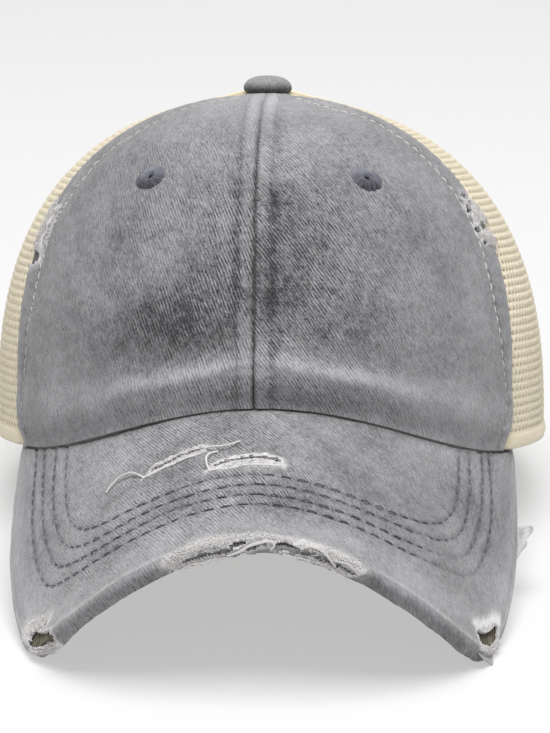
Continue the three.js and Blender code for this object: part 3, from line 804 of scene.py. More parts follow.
def net_cells(centre_angle, first, last, side, opening=False):
    """Centres of the cells whose middle lies between two seams, in flat millimetres."""
    rows = int(SIDE_LENGTH * TOP_SHARE / NET_ROW) + 2
    i, j = np.meshgrid(np.arange(-40, 41), np.arange(0, rows))
    x = (i + 0.5 * (j % 2)) * NET_PITCH
    y = (j + 0.2) * NET_ROW
    v = y / SIDE_LENGTH
    radius = radius_at(np.minimum(v, TOP_SHARE))
    theta = centre_angle + x / np.maximum(radius, 1)
    inside = (theta > first(v)) & (theta < last(v)) & (v < TOP_SHARE)
    if opening:
        place = crown(side * np.clip(theta, 0, np.pi), np.minimum(v, TOP_SHARE))
        inside &= ~within_opening(place[..., 0] + LEAN, place[..., 2], 2.2)
    return np.stack([x[inside], y[inside]], -1)


OPENING_HALF, OPENING_STRAIGHT, OPENING_ARCH = 40.0, 34.0, 50.0


def within_opening(x, height, out):
    """Whether a point seen from behind lies in the rear opening: straight sides under half an ellipse."""
    half, arch = OPENING_HALF + out, OPENING_ARCH + out
    arch = np.sqrt(np.maximum(0, 1 - (x / half) ** 2)) * arch + OPENING_STRAIGHT
    return (np.abs(x) < half) & (height < arch)


def net_panel(name, stands_for, side, centre_angle, first, last, tuck=0.0, tight=0.0, opening=False):
    """Wraps the flat cells onto the crown: length up is the share v, and length across is the angle times the
    radius there. Points beyond a seam are drawn back onto it, and the first seam lies tuck millimetres deep.
    Holes near that seam are smaller by the share tight. Edges that only one cell has get a wall."""
    centres = net_cells(centre_angle, first, last, side, opening)
    ring = centres[:, None] + hexagon()
    level = np.tile(np.where(np.arange(12) % 2 == 1, 0.06, 0.0), (len(centres), 1))
    level[:, [3, 9]] = -0.14
    keys = np.round(ring.reshape(-1, 2) * 20).astype(int)
    flat, shared = np.unique(keys, axis=0, return_inverse=True)
    shared = shared.reshape(-1, 12)
    heights = np.zeros(len(flat))
    heights[shared.ravel()] = level.ravel()

    def wrap(xy):
        v = np.clip(xy[..., 1] / SIDE_LENGTH, 0, TOP_SHARE)
        radius = np.maximum(radius_at(v), 1)
        theta = np.clip(centre_angle + xy[..., 0] / radius, first(v), last(v))
        return theta, v

    theta, v = wrap(flat / 20)
    cell_theta, cell_v = theta[shared], v[shared]
    middle = cell_theta.mean(1, keepdims=True), cell_v.mean(1, keepdims=True)
    points, index, offset = [], [], 0
    for share, depth in NET_RINGS:
        if share == 1.0:
            where = (theta, v, depth + heights * (1 if depth > -0.5 else -0.5))
            index.append(shared + offset)
        else:
            from_seam = (middle[0] - first(middle[1])) * NET_RADIUS
            share = share * (1 - tight * (1 - smooth_step(14, 38, from_seam)))
            where = (middle[0] + (cell_theta - middle[0]) * share,
                     middle[1] + (cell_v - middle[1]) * share, depth)
            index.append(np.arange(shared.size).reshape(-1, 12) + offset)
        behind_seam = (where[0] - first(where[1])) * radius_at(where[1])
        tucked = tuck * (1 - smooth_step(1.8, 4.8, behind_seam))
        tucked = tucked + 0.9 * smooth_step(0.87, 0.95, where[1])
        points.append(crown(twisted(side * where[0]), where[1], where[2] - tucked).reshape(-1, 3))
        offset += len(points[-1])
    bands = [np.stack([a, np.roll(a, -1, 1), np.roll(b, -1, 1), b], -1).reshape(-1, 4)
             for a, b in zip(index, index[1:])]
    start, end = shared.ravel(), np.roll(shared, -1, 1).ravel()
    pair = np.sort(np.stack([start, end], -1), 1)
    _, place, count = np.unique(pair, axis=0, return_inverse=True, return_counts=True)
    lone = count[place.ravel()] == 1
    below = index[-1].ravel(), np.roll(index[-1], -1, 1).ravel()
    walls = np.stack([end[lone], start[lone], below[0][lone], below[1][lone]], -1)
    ring_uv = np.stack([middle[0] * 60 + cell_theta, middle[1] * 150 + cell_v], -1).reshape(-1, 2)
    flat_uv = [flat / 20 if share == 1.0 else ring_uv for share, _ in NET_RINGS]
    points = np.concatenate(points)
    flat_uv = np.concatenate(flat_uv)
    return make_piece(name, points, [*bands, walls], NET, [stands_for], flat_uv, None, sharp=180)


def net_seam(v):
    """The net's front edge, let in 2.4 mm under the front panel."""
    return side_seam(v) - 2.4 / radius_at(v)


def rear_seam(v):
    return np.full(np.shape(v), REAR_SEAM)


def back_centre(v):
    return np.full(np.shape(v), np.pi)


for side, word in SIDES.items():
    net_panel(f"side_net_{word}", f"side_net_panel_{word}", side, math.radians(92), net_seam, rear_seam,
              tuck=1.9, tight=0.75)
    net_panel(f"back_net_{word}", f"back_net_panel_{word}", side, math.radians(152), rear_seam, back_centre,
              opening=True)

# %% [markdown]
# ## Tapes, hem and binding
# The raw edges of the net are covered: a cream tape over each rear seam, a narrow turned hem round the
# foot, and a folded twill tape round the opening. Each could be a curve with a flat profile, but it has to
# lie on the domed crown along its whole width. So each is a band whose points come from a function of the
# crown, a little domed, with its edges let into the net.

# %% Bands along a line
def band(name, place, finish, run, width, lift, thick, stands_for=(), columns=120, rows=9,
         ripple=0.08):
    """place(share along, millimetres across, out) gives points, and run is the band's length. The band is
    domed: lifted by a flat-topped bell across its width, so its edges sink to where it lies."""
    t, w = np.meshgrid(np.linspace(0, 1, columns), np.linspace(-0.5, 0.5, rows), indexing="ij")
    dome = lift * (1 - (2 * np.abs(w)) ** 4)
    uneven = ripple * ripples(t * run, w * width, 5, len(name)) * (1 - (2 * np.abs(w)) ** 2)
    outer, inner = place(t, w * width, dome + uneven), place(t, w * width, dome - thick)
    tone = 0.05 * ripples(t * run, w * width, 18, 7) - 0.1 * (2 * np.abs(w)) ** 6
    uv = grain(w * width, t * run, 60)
    marks = {"tone": tone, "worn": 0.05 * (2 * np.abs(w)) ** 6, "lined": 0.3}
    return cloth_piece(name, outer, inner, uv, finish, stands_for, marks)


def seam_tape(angle, foot):
    """A tape up a seam from a share of the way up, narrower near the top, where the seams meet."""

    def place(t, across, out):
        v = foot + (TOP_SHARE - 0.012 - foot) * t
        shrink = np.minimum(1, radius_at(v, 40) / 7)
        return crown(twisted(angle + across * shrink / radius_at(v)), v, out)
    return place


def hem_line(side):
    """The net's foot, from the side seam round to the rear opening, with the band's width up the crown."""
    first, last = SEAM_FOOT - math.radians(1), math.pi - math.asin(OPENING_HALF / HALF_WIDTH) + 0.01

    def place(t, across, out):
        theta = side * (first + (last - first) * t)
        tucked = 2.2 * (1 - smooth_step(0, 0.035, t))
        return crown(twisted(theta), np.maximum(0, (across + 2.3) / SIDE_LENGTH), out - tucked)
    return place


def opening_line(t, across, out):
    """Round the rear opening from foot to foot, seen from behind: straight up, half an ellipse, straight
    down."""
    grow = across + 4.0
    turn = np.clip((t - 0.25) / 0.5, 0, 1) * np.pi
    foot = np.minimum(1, np.minimum(t, 1 - t) / 0.25)
    x = (OPENING_HALF + grow) * np.cos(turn)
    height = OPENING_STRAIGHT * foot + (OPENING_ARCH + grow) * np.sin(turn) + 0.3
    v = share_at_height(np.maximum(0, height))
    theta = np.pi - np.arcsin(np.clip(x / radius_at(v, HALF_WIDTH), -1, 1))
    return crown(theta, v, out)


def seam_backing(side):
    """The panel's turned-under cloth behind its frayed edge, from a quarter to past half of the way up. It
    lies just under the panel's edge and deeper further in. Its darker twill is painted shade, and the 1.2 mm
    that reach past the panel's edge show as a painted shadow line beside it."""
    middle, shallow, deep = 3.7, 0.65, 1.6

    def place(t, across, out):
        v = 0.27 + 0.3 * t
        sunk = shallow + (deep - shallow) * smooth_step(-2.5, 1.5, across)
        theta = side * (side_seam(v) - (across + middle) / radius_at(v, SEAM_RADIUS))
        return crown(twisted(theta), v, out - sunk)
    return place


for side, word in SIDES.items():
    band(f"seam_backing_{word}", seam_backing(side), SHADED_BACKING, run=50, width=9.8, lift=0.0,
         thick=0.3, columns=40, rows=7, ripple=0.0)
for side, word in SIDES.items():
    band(f"rear_seam_tape_{word}", seam_tape(side * REAR_SEAM, 0.0), NET, run=150, width=7,
         lift=0.75, thick=0.9)
band("back_centre_tape", seam_tape(math.pi, 0.615), NET, run=60, width=7, lift=0.75, thick=0.9,
     columns=60)
for side, word in SIDES.items():
    band(f"net_hem_{word}", hem_line(side), NET, run=130, width=4.4, lift=0.45, thick=1.5)
band("binding_outside", lambda t, across, out: opening_line(t, across, out + 0.75), TWILL,
     run=210, width=8, lift=0.75, thick=1.4, stands_for=["opening_binding"], columns=200, rows=13)
band("binding_inside", lambda t, across, out: opening_line(t, across, -1.5 - out), TWILL,
     run=210, width=8, lift=0.35, thick=0.7, columns=200)

# %% [markdown]
# ## Strap
# Two plain tabs of the same twill close the foot of the opening and overlap at the back. If both lay at one
# depth they would cut through each other, so the outer one steps out over the inner one where they meet.

# %% Strap
TAB_START, TAB_END, TAB_MIDDLE = math.radians(142.4), math.radians(192), 11.5
BAND_DEPTH, BAND_THICK, BAND_HEIGHT, BAND_END = 2.5, 0.95, 30.0, math.radians(142)


def strap(t, across, out, side, outer):
    """Round the back from the sweatband's end past the middle. The outer tab steps out over the inner one."""
    angle = TAB_START + (TAB_END - TAB_START) * t
    step_from = math.radians(184) - OPENING_HALF / HALF_WIDTH
    step = smooth_step(step_from, step_from + math.radians(12), angle) * (1.9 if outer else 0)
    v = share_at_height(TAB_MIDDLE + across)
    return crown(side * angle, v, out - BAND_DEPTH + step)


band("strap_outer", lambda t, across, out: strap(t, across, out, 1, True), TWILL, run=76,
     width=20, lift=0.1, thick=1.6, stands_for=["strap_tab_outer"], columns=90, rows=21)
band("strap_inner", lambda t, across, out: strap(t, across, out, -1, False), TWILL, run=76,
     width=20, lift=0.1, thick=1.6, stands_for=["strap_tab_inner"], columns=90, rows=21)

# %% [markdown]
# ## Sweatband
# A folded cotton band inside the rim, stitched along its foot. In front it reaches down behind the visor's
# root. A plain ring would leave a gap there, so it is the crown's own surface, moved inwards and drawn down
# in front.

# %% Sweatband
def sweatband():
    """The crown's surface 2.5 mm further in, from the rim to 30 mm up, drawn down in front behind the
    visor."""
    u, v = np.meshgrid(np.linspace(-1, 1, 260), np.linspace(0, 1, 22), indexing="ij")
    theta = BAND_END * u
    top = share_at_height(BAND_HEIGHT)
    fold = 0.25 * smooth_step(0, 0.06, v) * (1 - smooth_step(0.9, 1.0, v))
    fold = fold + 0.12 * ripples(theta * 90, v * 30, 14, 31)
    drop = (1 - v) * np.maximum(4.9 * np.minimum(1, rim_height(theta) / (RIM_ARCH * 0.2)),
                                2.6 * bump_shape(np.abs(theta) - math.radians(57), math.radians(5)))
    outer = crown(theta, top * v, -BAND_DEPTH)
    inner = crown(theta, top * v, -BAND_DEPTH - BAND_THICK - fold)
    outer[..., 2] -= drop
    inner[..., 2] -= drop
    marks = {"tone": 0.06 * ripples(theta * 90, v * 30, 22, 33) - 0.1 * bump_shape(v, 0.05), "worn": 0.0}
    uv = grain(theta * 92, v * 30, 45)
    return cloth_piece("sweatband_cloth", outer, inner, uv, LINING, ["sweatband"], marks)


sweatband()

# %% [markdown]
# ## The visor's surface
# The visor is ruled from its root, under the crown's edge, to a front edge that arches across and falls at
# its sides. It is swollen a little in between. A flat board could be bent by a modifier, but its root would
# not stay on the crown, so each point is worked out between root and edge. The upper cloth wraps the
# board's edge as a rounded lip.

# %% Visor sizes and surface
ROOT_ANGLE, VISOR_LENGTH, VISOR_HALF, VISOR_TIP = math.radians(61), 71.5, 77.0, 5.0
VISOR_DIP, ARCH_RADIUS, SIDE_SLOPE, BLEND, BULGE, LIP_DEPTH = 29.5, 57.0, 0.58, 3.0, 2.5, 4.6


def visor_root(u):
    """The crown's foot just inside its cloth."""
    point = crown(u * ROOT_ANGLE, np.zeros_like(u), -1.6)
    point[..., 2] -= 0.3
    return point


ROOT_END = visor_root(np.array([1.0]))[0]


def visor_edge(u):
    """A squared-off ellipse in plan. Its height is the higher of a parabola across the front and a straight
    slope down each side, with a soft blend between them."""
    turn = u * np.pi / 2
    x = VISOR_HALF * np.sign(u) * np.abs(np.sin(turn)) ** (2 / 3)
    start = -ROOT_END[1] + VISOR_TIP
    forward = (HALF_LENGTH + VISOR_LENGTH - start) * np.abs(np.cos(turn)) ** (2 / 3)
    front = RIM_ARCH - VISOR_DIP - x ** 2 / (2 * ARCH_RADIUS)
    side = ROOT_END[2] - SIDE_SLOPE * (forward + VISOR_TIP)
    z = np.maximum(front, side) + BLEND * np.log1p(np.exp(-np.abs(front - side) / BLEND))
    return np.stack([x, -start - forward, z], -1)


def bare_visor(u, v):
    """A straight line from root to edge, lifted by a low bulge."""
    u, v = np.broadcast_arrays(np.asarray(u, float), np.asarray(v, float))
    point = visor_root(u) * (1 - v[..., None]) + visor_edge(u) * v[..., None]
    point[..., 2] += BULGE * 4 * v * (1 - v) * (1 - u ** 2)
    return point


def visor_normal(u, v):
    a, b = np.clip(u, -0.99, 0.99), np.clip(v, 0.01, 0.99)
    across = bare_visor(a + 0.01, b) - bare_visor(a - 0.01, b)
    forward = bare_visor(a, b + 0.01) - bare_visor(a, b - 0.01)
    return unit(np.cross(forward, across))


def visor(u, v, out=0.0, inset=0.0):
    """A point of the visor, out millimetres above its face. Depth is plumb at the root and square to the face
    from half way out. inset draws the edge inwards."""
    u, v = np.broadcast_arrays(np.asarray(u, float), np.asarray(v, float))
    normal = visor_normal(u, v)
    a = np.clip(u, -0.995, 0.995)
    tangent = unit(visor_edge(a + 0.005) - visor_edge(a - 0.005))
    inward = unit(np.cross(tangent, visor_normal(u, np.ones_like(v))))
    facing = np.einsum("...i,...i->...", inward, visor_root(u) - visor_edge(u))
    inward = inward * np.where(facing < 0, -1, 1)[..., None]
    share = np.minimum(1, v / 0.5)[..., None]
    lift = unit(np.array([0, 0, 1.0]) * (1 - share) + normal * share)
    scale = np.asarray(out, float) / np.einsum("...i,...i->...", lift, normal)
    scale = np.broadcast_to(scale, u.shape)
    return bare_visor(u, v) + inward * (np.asarray(inset) * v)[..., None] + lift * scale[..., None]


UPPER_THICK, LOWER_TOP, LOWER_FOOT, LOWER_INSET = 1.0, 3.6, 4.6, 1.3
LIP_ROUND = 1.9
edge_table = np.linspace(-1, 1, 4001)
edge_lengths = along(visor_edge(edge_table)[None], 1)[0]
edge_lengths -= edge_lengths[2000]
print("length of the visor's edge", round(edge_lengths[-1] - edge_lengths[0], 1), "mm")


def edge_run(u):
    """Millimetres along the edge from its middle."""
    return np.interp(u, edge_table, edge_lengths)


def edge_place(u, s, out=0.0):
    """A point on the upper cloth s millimetres from where its rounding starts, and its outward direction:
    on the flat for s below 0, then over a quarter circle, then straight down the lip."""
    u, s = np.broadcast_arrays(np.asarray(u, float), np.asarray(s, float))
    edge = visor_edge(u)
    span = np.linalg.norm(edge - visor_root(u), axis=-1)
    end = 1 - LIP_ROUND / span
    up = visor_normal(u, np.ones_like(u))
    pull = (bare_visor(u, end) - edge) / LIP_ROUND
    angle = np.clip(s / LIP_ROUND, 0, np.pi / 2)[..., None]
    below = LIP_ROUND * (1 - np.cos(angle)) + np.maximum(0, s - LIP_ROUND * np.pi / 2)[..., None]
    lip = edge + pull * LIP_ROUND * (1 - np.sin(angle)) - up * below
    normal = unit(up * np.cos(angle) - pull * np.sin(angle))
    point = np.where(s[..., None] < 0, visor(u, end + np.minimum(s, 0) / span), lip)
    return point + normal * np.broadcast_to(out, u.shape)[..., None], normal


middle_line = bare_visor(np.zeros(2), np.array([0.0, 1.0]))
print("length of the visor in the middle", np.linalg.norm(middle_line[1] - middle_line[0]).round(1), "mm")

# %% [markdown]
# ## The lines of the visor's stitches
# Four rows of stitches run round the visor, and the cloth is sunk along them. They could be worked out at
# even distances from the edge, but the real rows wander a little, so each is a line through measured
# places.

# %% Lines of the visor's stitches
# The four rows of stitches: points as shares across and out.
STITCH_ROWS = [
    [(-0.72, 0.0), (-0.665, 0.225), (-0.63, 0.33), (-0.58, 0.425), (-0.522, 0.49), (-0.461, 0.535),
     (-0.38, 0.562), (-0.235, 0.566), (-0.075, 0.572), (0.055, 0.579), (0.2, 0.577), (0.329, 0.556),
     (0.448, 0.505), (0.52, 0.445), (0.578, 0.375), (0.62, 0.295), (0.65, 0.2), (0.694, 0.0)],
    [(-0.776, 0.0), (-0.73, 0.237), (-0.69, 0.365), (-0.646, 0.45), (-0.593, 0.52), (-0.518, 0.583),
     (-0.451, 0.618), (-0.36, 0.634), (-0.2, 0.636), (-0.02, 0.643), (0.15, 0.645), (0.315, 0.622),
     (0.461, 0.573), (0.535, 0.52), (0.6, 0.458), (0.65, 0.375), (0.695, 0.25), (0.74, 0.0)],
    [(-0.844, 0.0), (-0.79, 0.265), (-0.735, 0.44), (-0.69, 0.525), (-0.63, 0.595), (-0.55, 0.652),
     (-0.45, 0.69), (-0.34, 0.704), (-0.18, 0.704), (0.0, 0.71), (0.15, 0.712), (0.296, 0.7),
     (0.449, 0.65), (0.53, 0.61), (0.605, 0.562), (0.67, 0.49), (0.725, 0.395), (0.775, 0.2),
     (0.805, 0.0)],
    [(-0.898, 0.0), (-0.83, 0.38), (-0.775, 0.55), (-0.72, 0.64), (-0.65, 0.7), (-0.55, 0.738),
     (-0.42, 0.76), (-0.3, 0.769), (-0.15, 0.776), (0.0, 0.773), (0.15, 0.77), (0.285, 0.758),
     (0.43, 0.724), (0.53, 0.69), (0.62, 0.65), (0.695, 0.6), (0.75, 0.52), (0.795, 0.37), (0.824, 0.17),
     (0.845, 0.0)],
]
rows_on_visor = [smooth_line(row, 160, 10) for row in STITCH_ROWS]


def distance_to(points, line):
    """Shortest distance from each point to a line of straight pieces."""
    flat = points.reshape(-1, points.shape[-1])
    nearest = np.full(len(flat), 1e9)
    for a, b in zip(line[:-1], line[1:]):
        step = b - a
        share = np.clip((flat - a) @ step / max(step @ step, 1e-9), 0, 1)
        nearest = np.minimum(nearest, np.linalg.norm(flat - a - share[:, None] * step, axis=1))
    return nearest.reshape(points.shape[:-1])


# %% [markdown]
# ## Rips and worn places
# The rips are thin slits where the grey yarns have gone and white ones still cross. The corners and two
# stretches of the front edge are worn through to the board. Dark paint would look flat in all of them, so
# each is drawn on the visor as a line with a width, and cells of the cloth's grid inside it are left out.
# Round them the cloth is marked as worn, which pales it.

# %% Rips and worn places
# The rips: points of a line as shares across and out, and half the width in millimetres.
SLITS = {
    "first": ([(-0.27, 0.366), (-0.24, 0.354), (-0.2, 0.337), (-0.164, 0.326), (-0.133, 0.32)], 1.15),
    "second": ([(-0.075, 0.482), (-0.055, 0.469), (-0.035, 0.463), (-0.008, 0.461), (0.01, 0.469),
                (0.024, 0.482)], 0.95),
}
# Paled cloth beside the rips, in the same terms.
PALED = [
    ([(-0.09, 0.504), (-0.05, 0.507), (0.0, 0.502), (0.03, 0.506)], 1.3),
    ([(-0.06, 0.455), (0.01, 0.44)], 1.1),
    ([(-0.295, 0.388), (-0.25, 0.372)], 1.0),
]
# Holes in the edge: points as a share across and millimetres past the rounding's start, and half the width.
EDGE_HOLES = [
    ([(-0.105, 4.7), (-0.085, 4.1), (-0.06, 3.9), (-0.035, 4.1), (-0.022, 3.8)], 1.15),
    ([(-0.018, 2.6), (-0.008, 1.4)], 1.1),
    ([(-0.004, 3.6), (0.0, 2.5), (0.004, 2.0)], 0.8),
    ([(0.013, 2.6), (0.022, 2.0), (0.034, 3.0)], 1.6),
    ([(0.044, 2.3), (0.063, 2.7)], 1.3),
    ([(0.072, 3.2), (0.09, 3.3), (0.106, 3.8)], 1.3),
    ([(0.114, 3.8), (0.142, 3.4)], 0.7),
    ([(-0.578, -2.3), (-0.482, 1.5)], 2.8),
    ([(0.55, -3.6), (0.638, -3.0)], 2.3),
]
# Worn bands round those holes, in the same terms, each with how white it is.
WORN_BANDS = [
    ([(-0.118, 2.6), (-0.1, 1.4), (-0.08, 0.6), (-0.06, -0.3), (-0.044, -0.5), (-0.023, 0.2)], 1.9, 0.85),
    ([(-0.023, -0.6), (0.0, -1.0), (0.011, -0.8), (0.04, -0.4)], 1.2, 0.5),
    ([(0.04, 0.4), (0.067, 0.4), (0.094, 0.5), (0.121, 1.0), (0.15, 1.9)], 1.9, 0.8),
    ([(-0.11, 4.9), (-0.072, 5.2), (-0.044, 5.2), (-0.02, 5.2)], 0.8, 0.7),
    ([(0.04, 4.6), (0.09, 4.9), (0.136, 4.9)], 0.8, 0.6),
    ([(-0.575, 1.6), (-0.53, 4.4), (-0.5, 5.2), (-0.46, 4.6)], 1.1, 0.8),
    ([(0.535, 0.4), (0.58, 1.2), (0.64, 0.8)], 0.8, 0.5),
    ([(-0.625, -1.6), (-0.605, -5.4), (-0.56, -7.4), (-0.515, -6.6)], 2.5, 1.1),
    ([(0.53, -7.0), (0.58, -8.4), (0.63, -7.6), (0.665, -4.0)], 1.8, 1.0),
]


def visor_line(points):
    """A rounded line on the visor through places given as shares across and out."""
    line = smooth_line(points, 24, 3)
    return visor(line[:, 0], line[:, 1])


for key, (line, half) in SLITS.items():
    print(key, "rip", round(along(visor_line(line)[None], 1)[0, -1], 1), "mm long,", 2 * half, "mm wide")

# %% [markdown]
# ## The visor's upper cloth
# One twill is stretched over the board and turned down over its edge. The flat and the lip could be two
# pieces, but then a hole could not cross the edge. So one fine grid of cloth runs over both, and its lift,
# its lip, its tone and its wear are each worked out by a function of their own.

# %% Visor's upper cloth
LIP_TURNS = np.linspace(0, np.pi / 2, 8)[1:]
LIP_STRAIGHT = np.linspace(LIP_ROUND, LIP_DEPTH, 8)[1:]
# Millimetres past the rounding's start of each row of the lip. The quarter circle is 1.08 longer than deep.
LIP_PAST = [*(LIP_TURNS * LIP_ROUND), *(LIP_STRAIGHT + 1.08)]


def lipped(values):
    """Carries what holds at the end of the flat on over the lip."""
    return np.concatenate([values, np.repeat(values[:, -1:], len(LIP_PAST), 1)], 1)


def upper_grid():
    """The grid's shares across and out on the flat, even along the edge and up to where the rounding starts,
    and each column's length from root to edge."""
    columns, rows = 397, 102
    shares = np.interp(np.linspace(edge_lengths[0], edge_lengths[-1], columns), edge_lengths, edge_table)
    u, v = np.meshgrid(shares, closer(rows, [(0.4, 0.13, 0.7), (1.0, 0.1, 1.2)]), indexing="ij")
    span = np.linalg.norm(visor_edge(shares) - visor_root(shares), axis=-1)
    return u, v * np.clip(1 - LIP_ROUND / span, 0.4, 1)[:, None], span


def upper_lift(flat, v, rows, inside_rows, slits):
    """Millimetres that the cloth stands out from the plain visor: puckers and grooves at the stitches, lips
    along the rips, and soft unevenness."""
    x, y = flat[..., 0], flat[..., 1]
    puckers = 0.17 * ripples(along(flat, 0), y, 5.2, 41) * bump_shape(inside_rows, 9)
    grooves = -0.3 * bump_shape(rows, 0.75).max(0)
    soft = 0.35 * ripples(x, y, 40, 42) * smooth_step(0.02, 0.2, v) * (1 - smooth_step(0.85, 0.98, v))
    soft += 0.12 * ripples(x, y, 14, 43) * smooth_step(0, 0.1, v)
    lips = sum(0.45 * bump_shape(d - 1.5, 0.9) for d in slits.values())
    near_root = 0.5 * bump_shape(v, 0.03)
    return puckers + grooves + soft + lips - near_root + 0.04 * ripples(x, y, 4, 44)


def rounded_lip(u, end, start, run):
    """Outer and inner rows of the lip: a quarter circle over the edge, then straight down. It is a little
    wavy, with one lobe at a corner, and the unevenness of the flat's last row fades out over it."""
    edge, down, plain = visor_edge(u), -visor_normal(u, np.ones(len(u))), bare_visor(u, end)
    pull = (plain - edge) / LIP_ROUND
    outer = [(LIP_ROUND * (1 - math.sin(a)), LIP_ROUND * (1 - math.cos(a))) for a in LIP_TURNS]
    inner = [(LIP_ROUND - 0.9 * math.sin(a), LIP_ROUND - 0.9 * math.cos(a)) for a in LIP_TURNS]
    outer += [(0.0, depth) for depth in LIP_STRAIGHT]
    inner += [(1.0, depth) for depth in LIP_STRAIGHT]
    count = np.arange(len(LIP_PAST))
    level = np.zeros((1, 1))
    wavy = 0.3 * ripples(run[:, None], level, 16, 45) + 0.14 * ripples(run[:, None], level, 5, 46)
    lobe = bump_shape(edge_run(u[:, None]) - edge_run(-0.45), 4)
    wavy = wavy + 1.6 * lobe * smooth_step(5, 12, count)
    outward = -unit(pull)[:, None] * (wavy * smooth_step(0, 5, count))[..., None]
    uneven = (start - plain)[:, None] * np.exp(-count / 3)[:, None]
    return [np.stack([edge + pull * inward + down * depth for inward, depth in profile], 1) + uneven + outward
            for profile in (outer, inner)]


def upper_tone(x, y, v, span, depth_in, lip_row, rows, inside_rows):
    """Pale along the edge and patchy, with painted shade in the stitch rows, at the root and down the lip."""
    # Painted shade darkens the cloth in the stitch rows' grooves.
    tone = -0.05 + 0.17 * bump_shape(depth_in - 9, 7) - lipped(0.16 * bump_shape(rows, 0.8).max(0))
    tone = tone - lipped(0.04 * bump_shape(inside_rows, 8)) + 0.12 * bump_shape(depth_in - 2.4, 1.3)
    # Painted shade at the root, under the crown's edge, and down the lip, which faces down.
    tone = tone - 0.12 * bump_shape(lipped(v), 0.04) - 0.16 * smooth_step(3, 8, lip_row)
    tone = tone + 0.05 * ripples(x, y, 30, 47) + 0.1 * (1 - smooth_step(-50, -20, x))
    return tone - 0.04 * (1 - smooth_step(8, 20, span[:, None]))


def upper_wear(x, y, flat, span, depth_in, flat_only, spread, slits):
    """How worn the cloth is at each point, and which points are gone: in the rips, in the holes of the edge,
    and below the frayed foot of the lip in front."""
    run, past = spread[..., 0], spread[..., 1]
    uneven = 0.4 + 0.6 * smooth_step(-0.4, 0.6, ripples(x, y, 6, 48))
    worn = 0.16 * bump_shape(depth_in - 2.2, 1.0) * uneven * smooth_step(12, 30, span[:, None])
    gone = np.zeros(x.shape, bool)
    ragged = 0.2 * ripples(x, y, 1.3, 50)
    for key, (_, half) in SLITS.items():
        d = lipped(slits[key])
        gone |= (d < half + ragged) & flat_only
        worn = np.maximum(worn, 0.7 * np.exp(-(np.maximum(d - half, 0) / 1.1) ** 2) * flat_only)
    patchy = (0.6 + 0.5 * ripples(x, y, 2.4, 55)) * flat_only
    for line, half in PALED:
        worn = np.maximum(worn, patchy * bump_shape(lipped(distance_to(flat, visor_line(line))), half))
    ragged = 0.35 * ripples(run, past, 2.0, 51)

    def on_edge(line):
        """Distance from a line that is given as shares across and millimetres past the rounding's start."""
        across, out = zip(*line)
        return distance_to(spread, np.stack([edge_run(across), out], -1))

    for line, half in EDGE_HOLES:
        d = on_edge(line) + ragged
        gone |= d < half
        worn = np.maximum(worn, 0.6 * np.exp(-(np.maximum(d - half, 0) / 0.8) ** 2))
    for line, half, share in WORN_BANDS:
        worn = np.maximum(worn, share * bump_shape(on_edge(line) + 1.2 * ragged, half))
    front = smooth_step(-42, -26, run) * (1 - smooth_step(28, 40, run))
    shorter = 5.6 - 1.2 * bump_shape(run - 6, 9) + 0.3 * ripples(run, 0.0, 2.6, 53)
    gone |= (past > shorter) & (front > 0.5)
    return np.clip(worn, 0, 1), gone


def visor_upper():
    """The ruled surface up to the rounding and the lip over the edge, with the rips and holes left out."""
    u, v, span = upper_grid()
    flat = visor(u, v)
    rows = np.stack([distance_to(flat, visor(line[::2, 0], line[::2, 1])) for line in rows_on_visor])
    inside_rows = distance_to(flat, visor(*((rows_on_visor[1] + rows_on_visor[2]) / 2)[::2].T))
    slits = {key: distance_to(flat, visor_line(line)) for key, (line, _) in SLITS.items()}
    lift = upper_lift(flat, v, rows, inside_rows, slits)
    outer, inner = visor(u, v, lift), visor(u, v, lift - UPPER_THICK)
    lip_outer, lip_inner = rounded_lip(u[:, 0], v[:, -1], outer[:, -1], along(flat, 0)[:, -1])
    outer, inner = np.concatenate([outer, lip_outer], 1), np.concatenate([inner, lip_inner], 1)
    past = np.concatenate([(v - v[:, -1:]) * span[:, None], np.tile(LIP_PAST, (len(u), 1))], 1)
    spread = np.stack(np.broadcast_arrays(edge_run(u[:, :1]), past), -1)
    depth_in = np.concatenate([(1 - v) * span[:, None], np.zeros((len(u), len(LIP_PAST)))], 1)
    lip_row = np.tile(np.concatenate([np.zeros(v.shape[1]), np.arange(1, len(LIP_PAST) + 1)]), (len(u), 1))
    x, y = outer[..., 0], outer[..., 1]
    tone = upper_tone(x, y, v, span, depth_in, lip_row, rows, inside_rows)
    worn, gone = upper_wear(x, y, flat, span, depth_in, lip_row == 0, spread, slits)
    keep = ~(gone[:-1, :-1] & gone[1:, 1:] | gone[1:, :-1] & gone[:-1, 1:])
    lined = np.clip(0.25 + 0.75 * bump_shape(x + 15, 42), 0, 1) * (0.3 + 0.7 * smooth_step(2, 18, depth_in))
    middle, run = len(u) // 2, along(outer, 0)
    uv = grain(run - run[middle:middle + 1], -along(outer, 1), 60)
    marks = {"tone": tone, "worn": worn, "lined": lined}
    cloth_piece("visor_cloth_upper", outer, inner, uv, TWILL, ["visor_upper_cloth"], marks,
                keep)


visor_upper()

# %% [markdown]
# ## The visor's lower cloth
# The cloth below the board has the same shape and the same stitches. It is whole and in shadow, so it is a
# coarser grid, a little smaller than the upper one, without a lip.

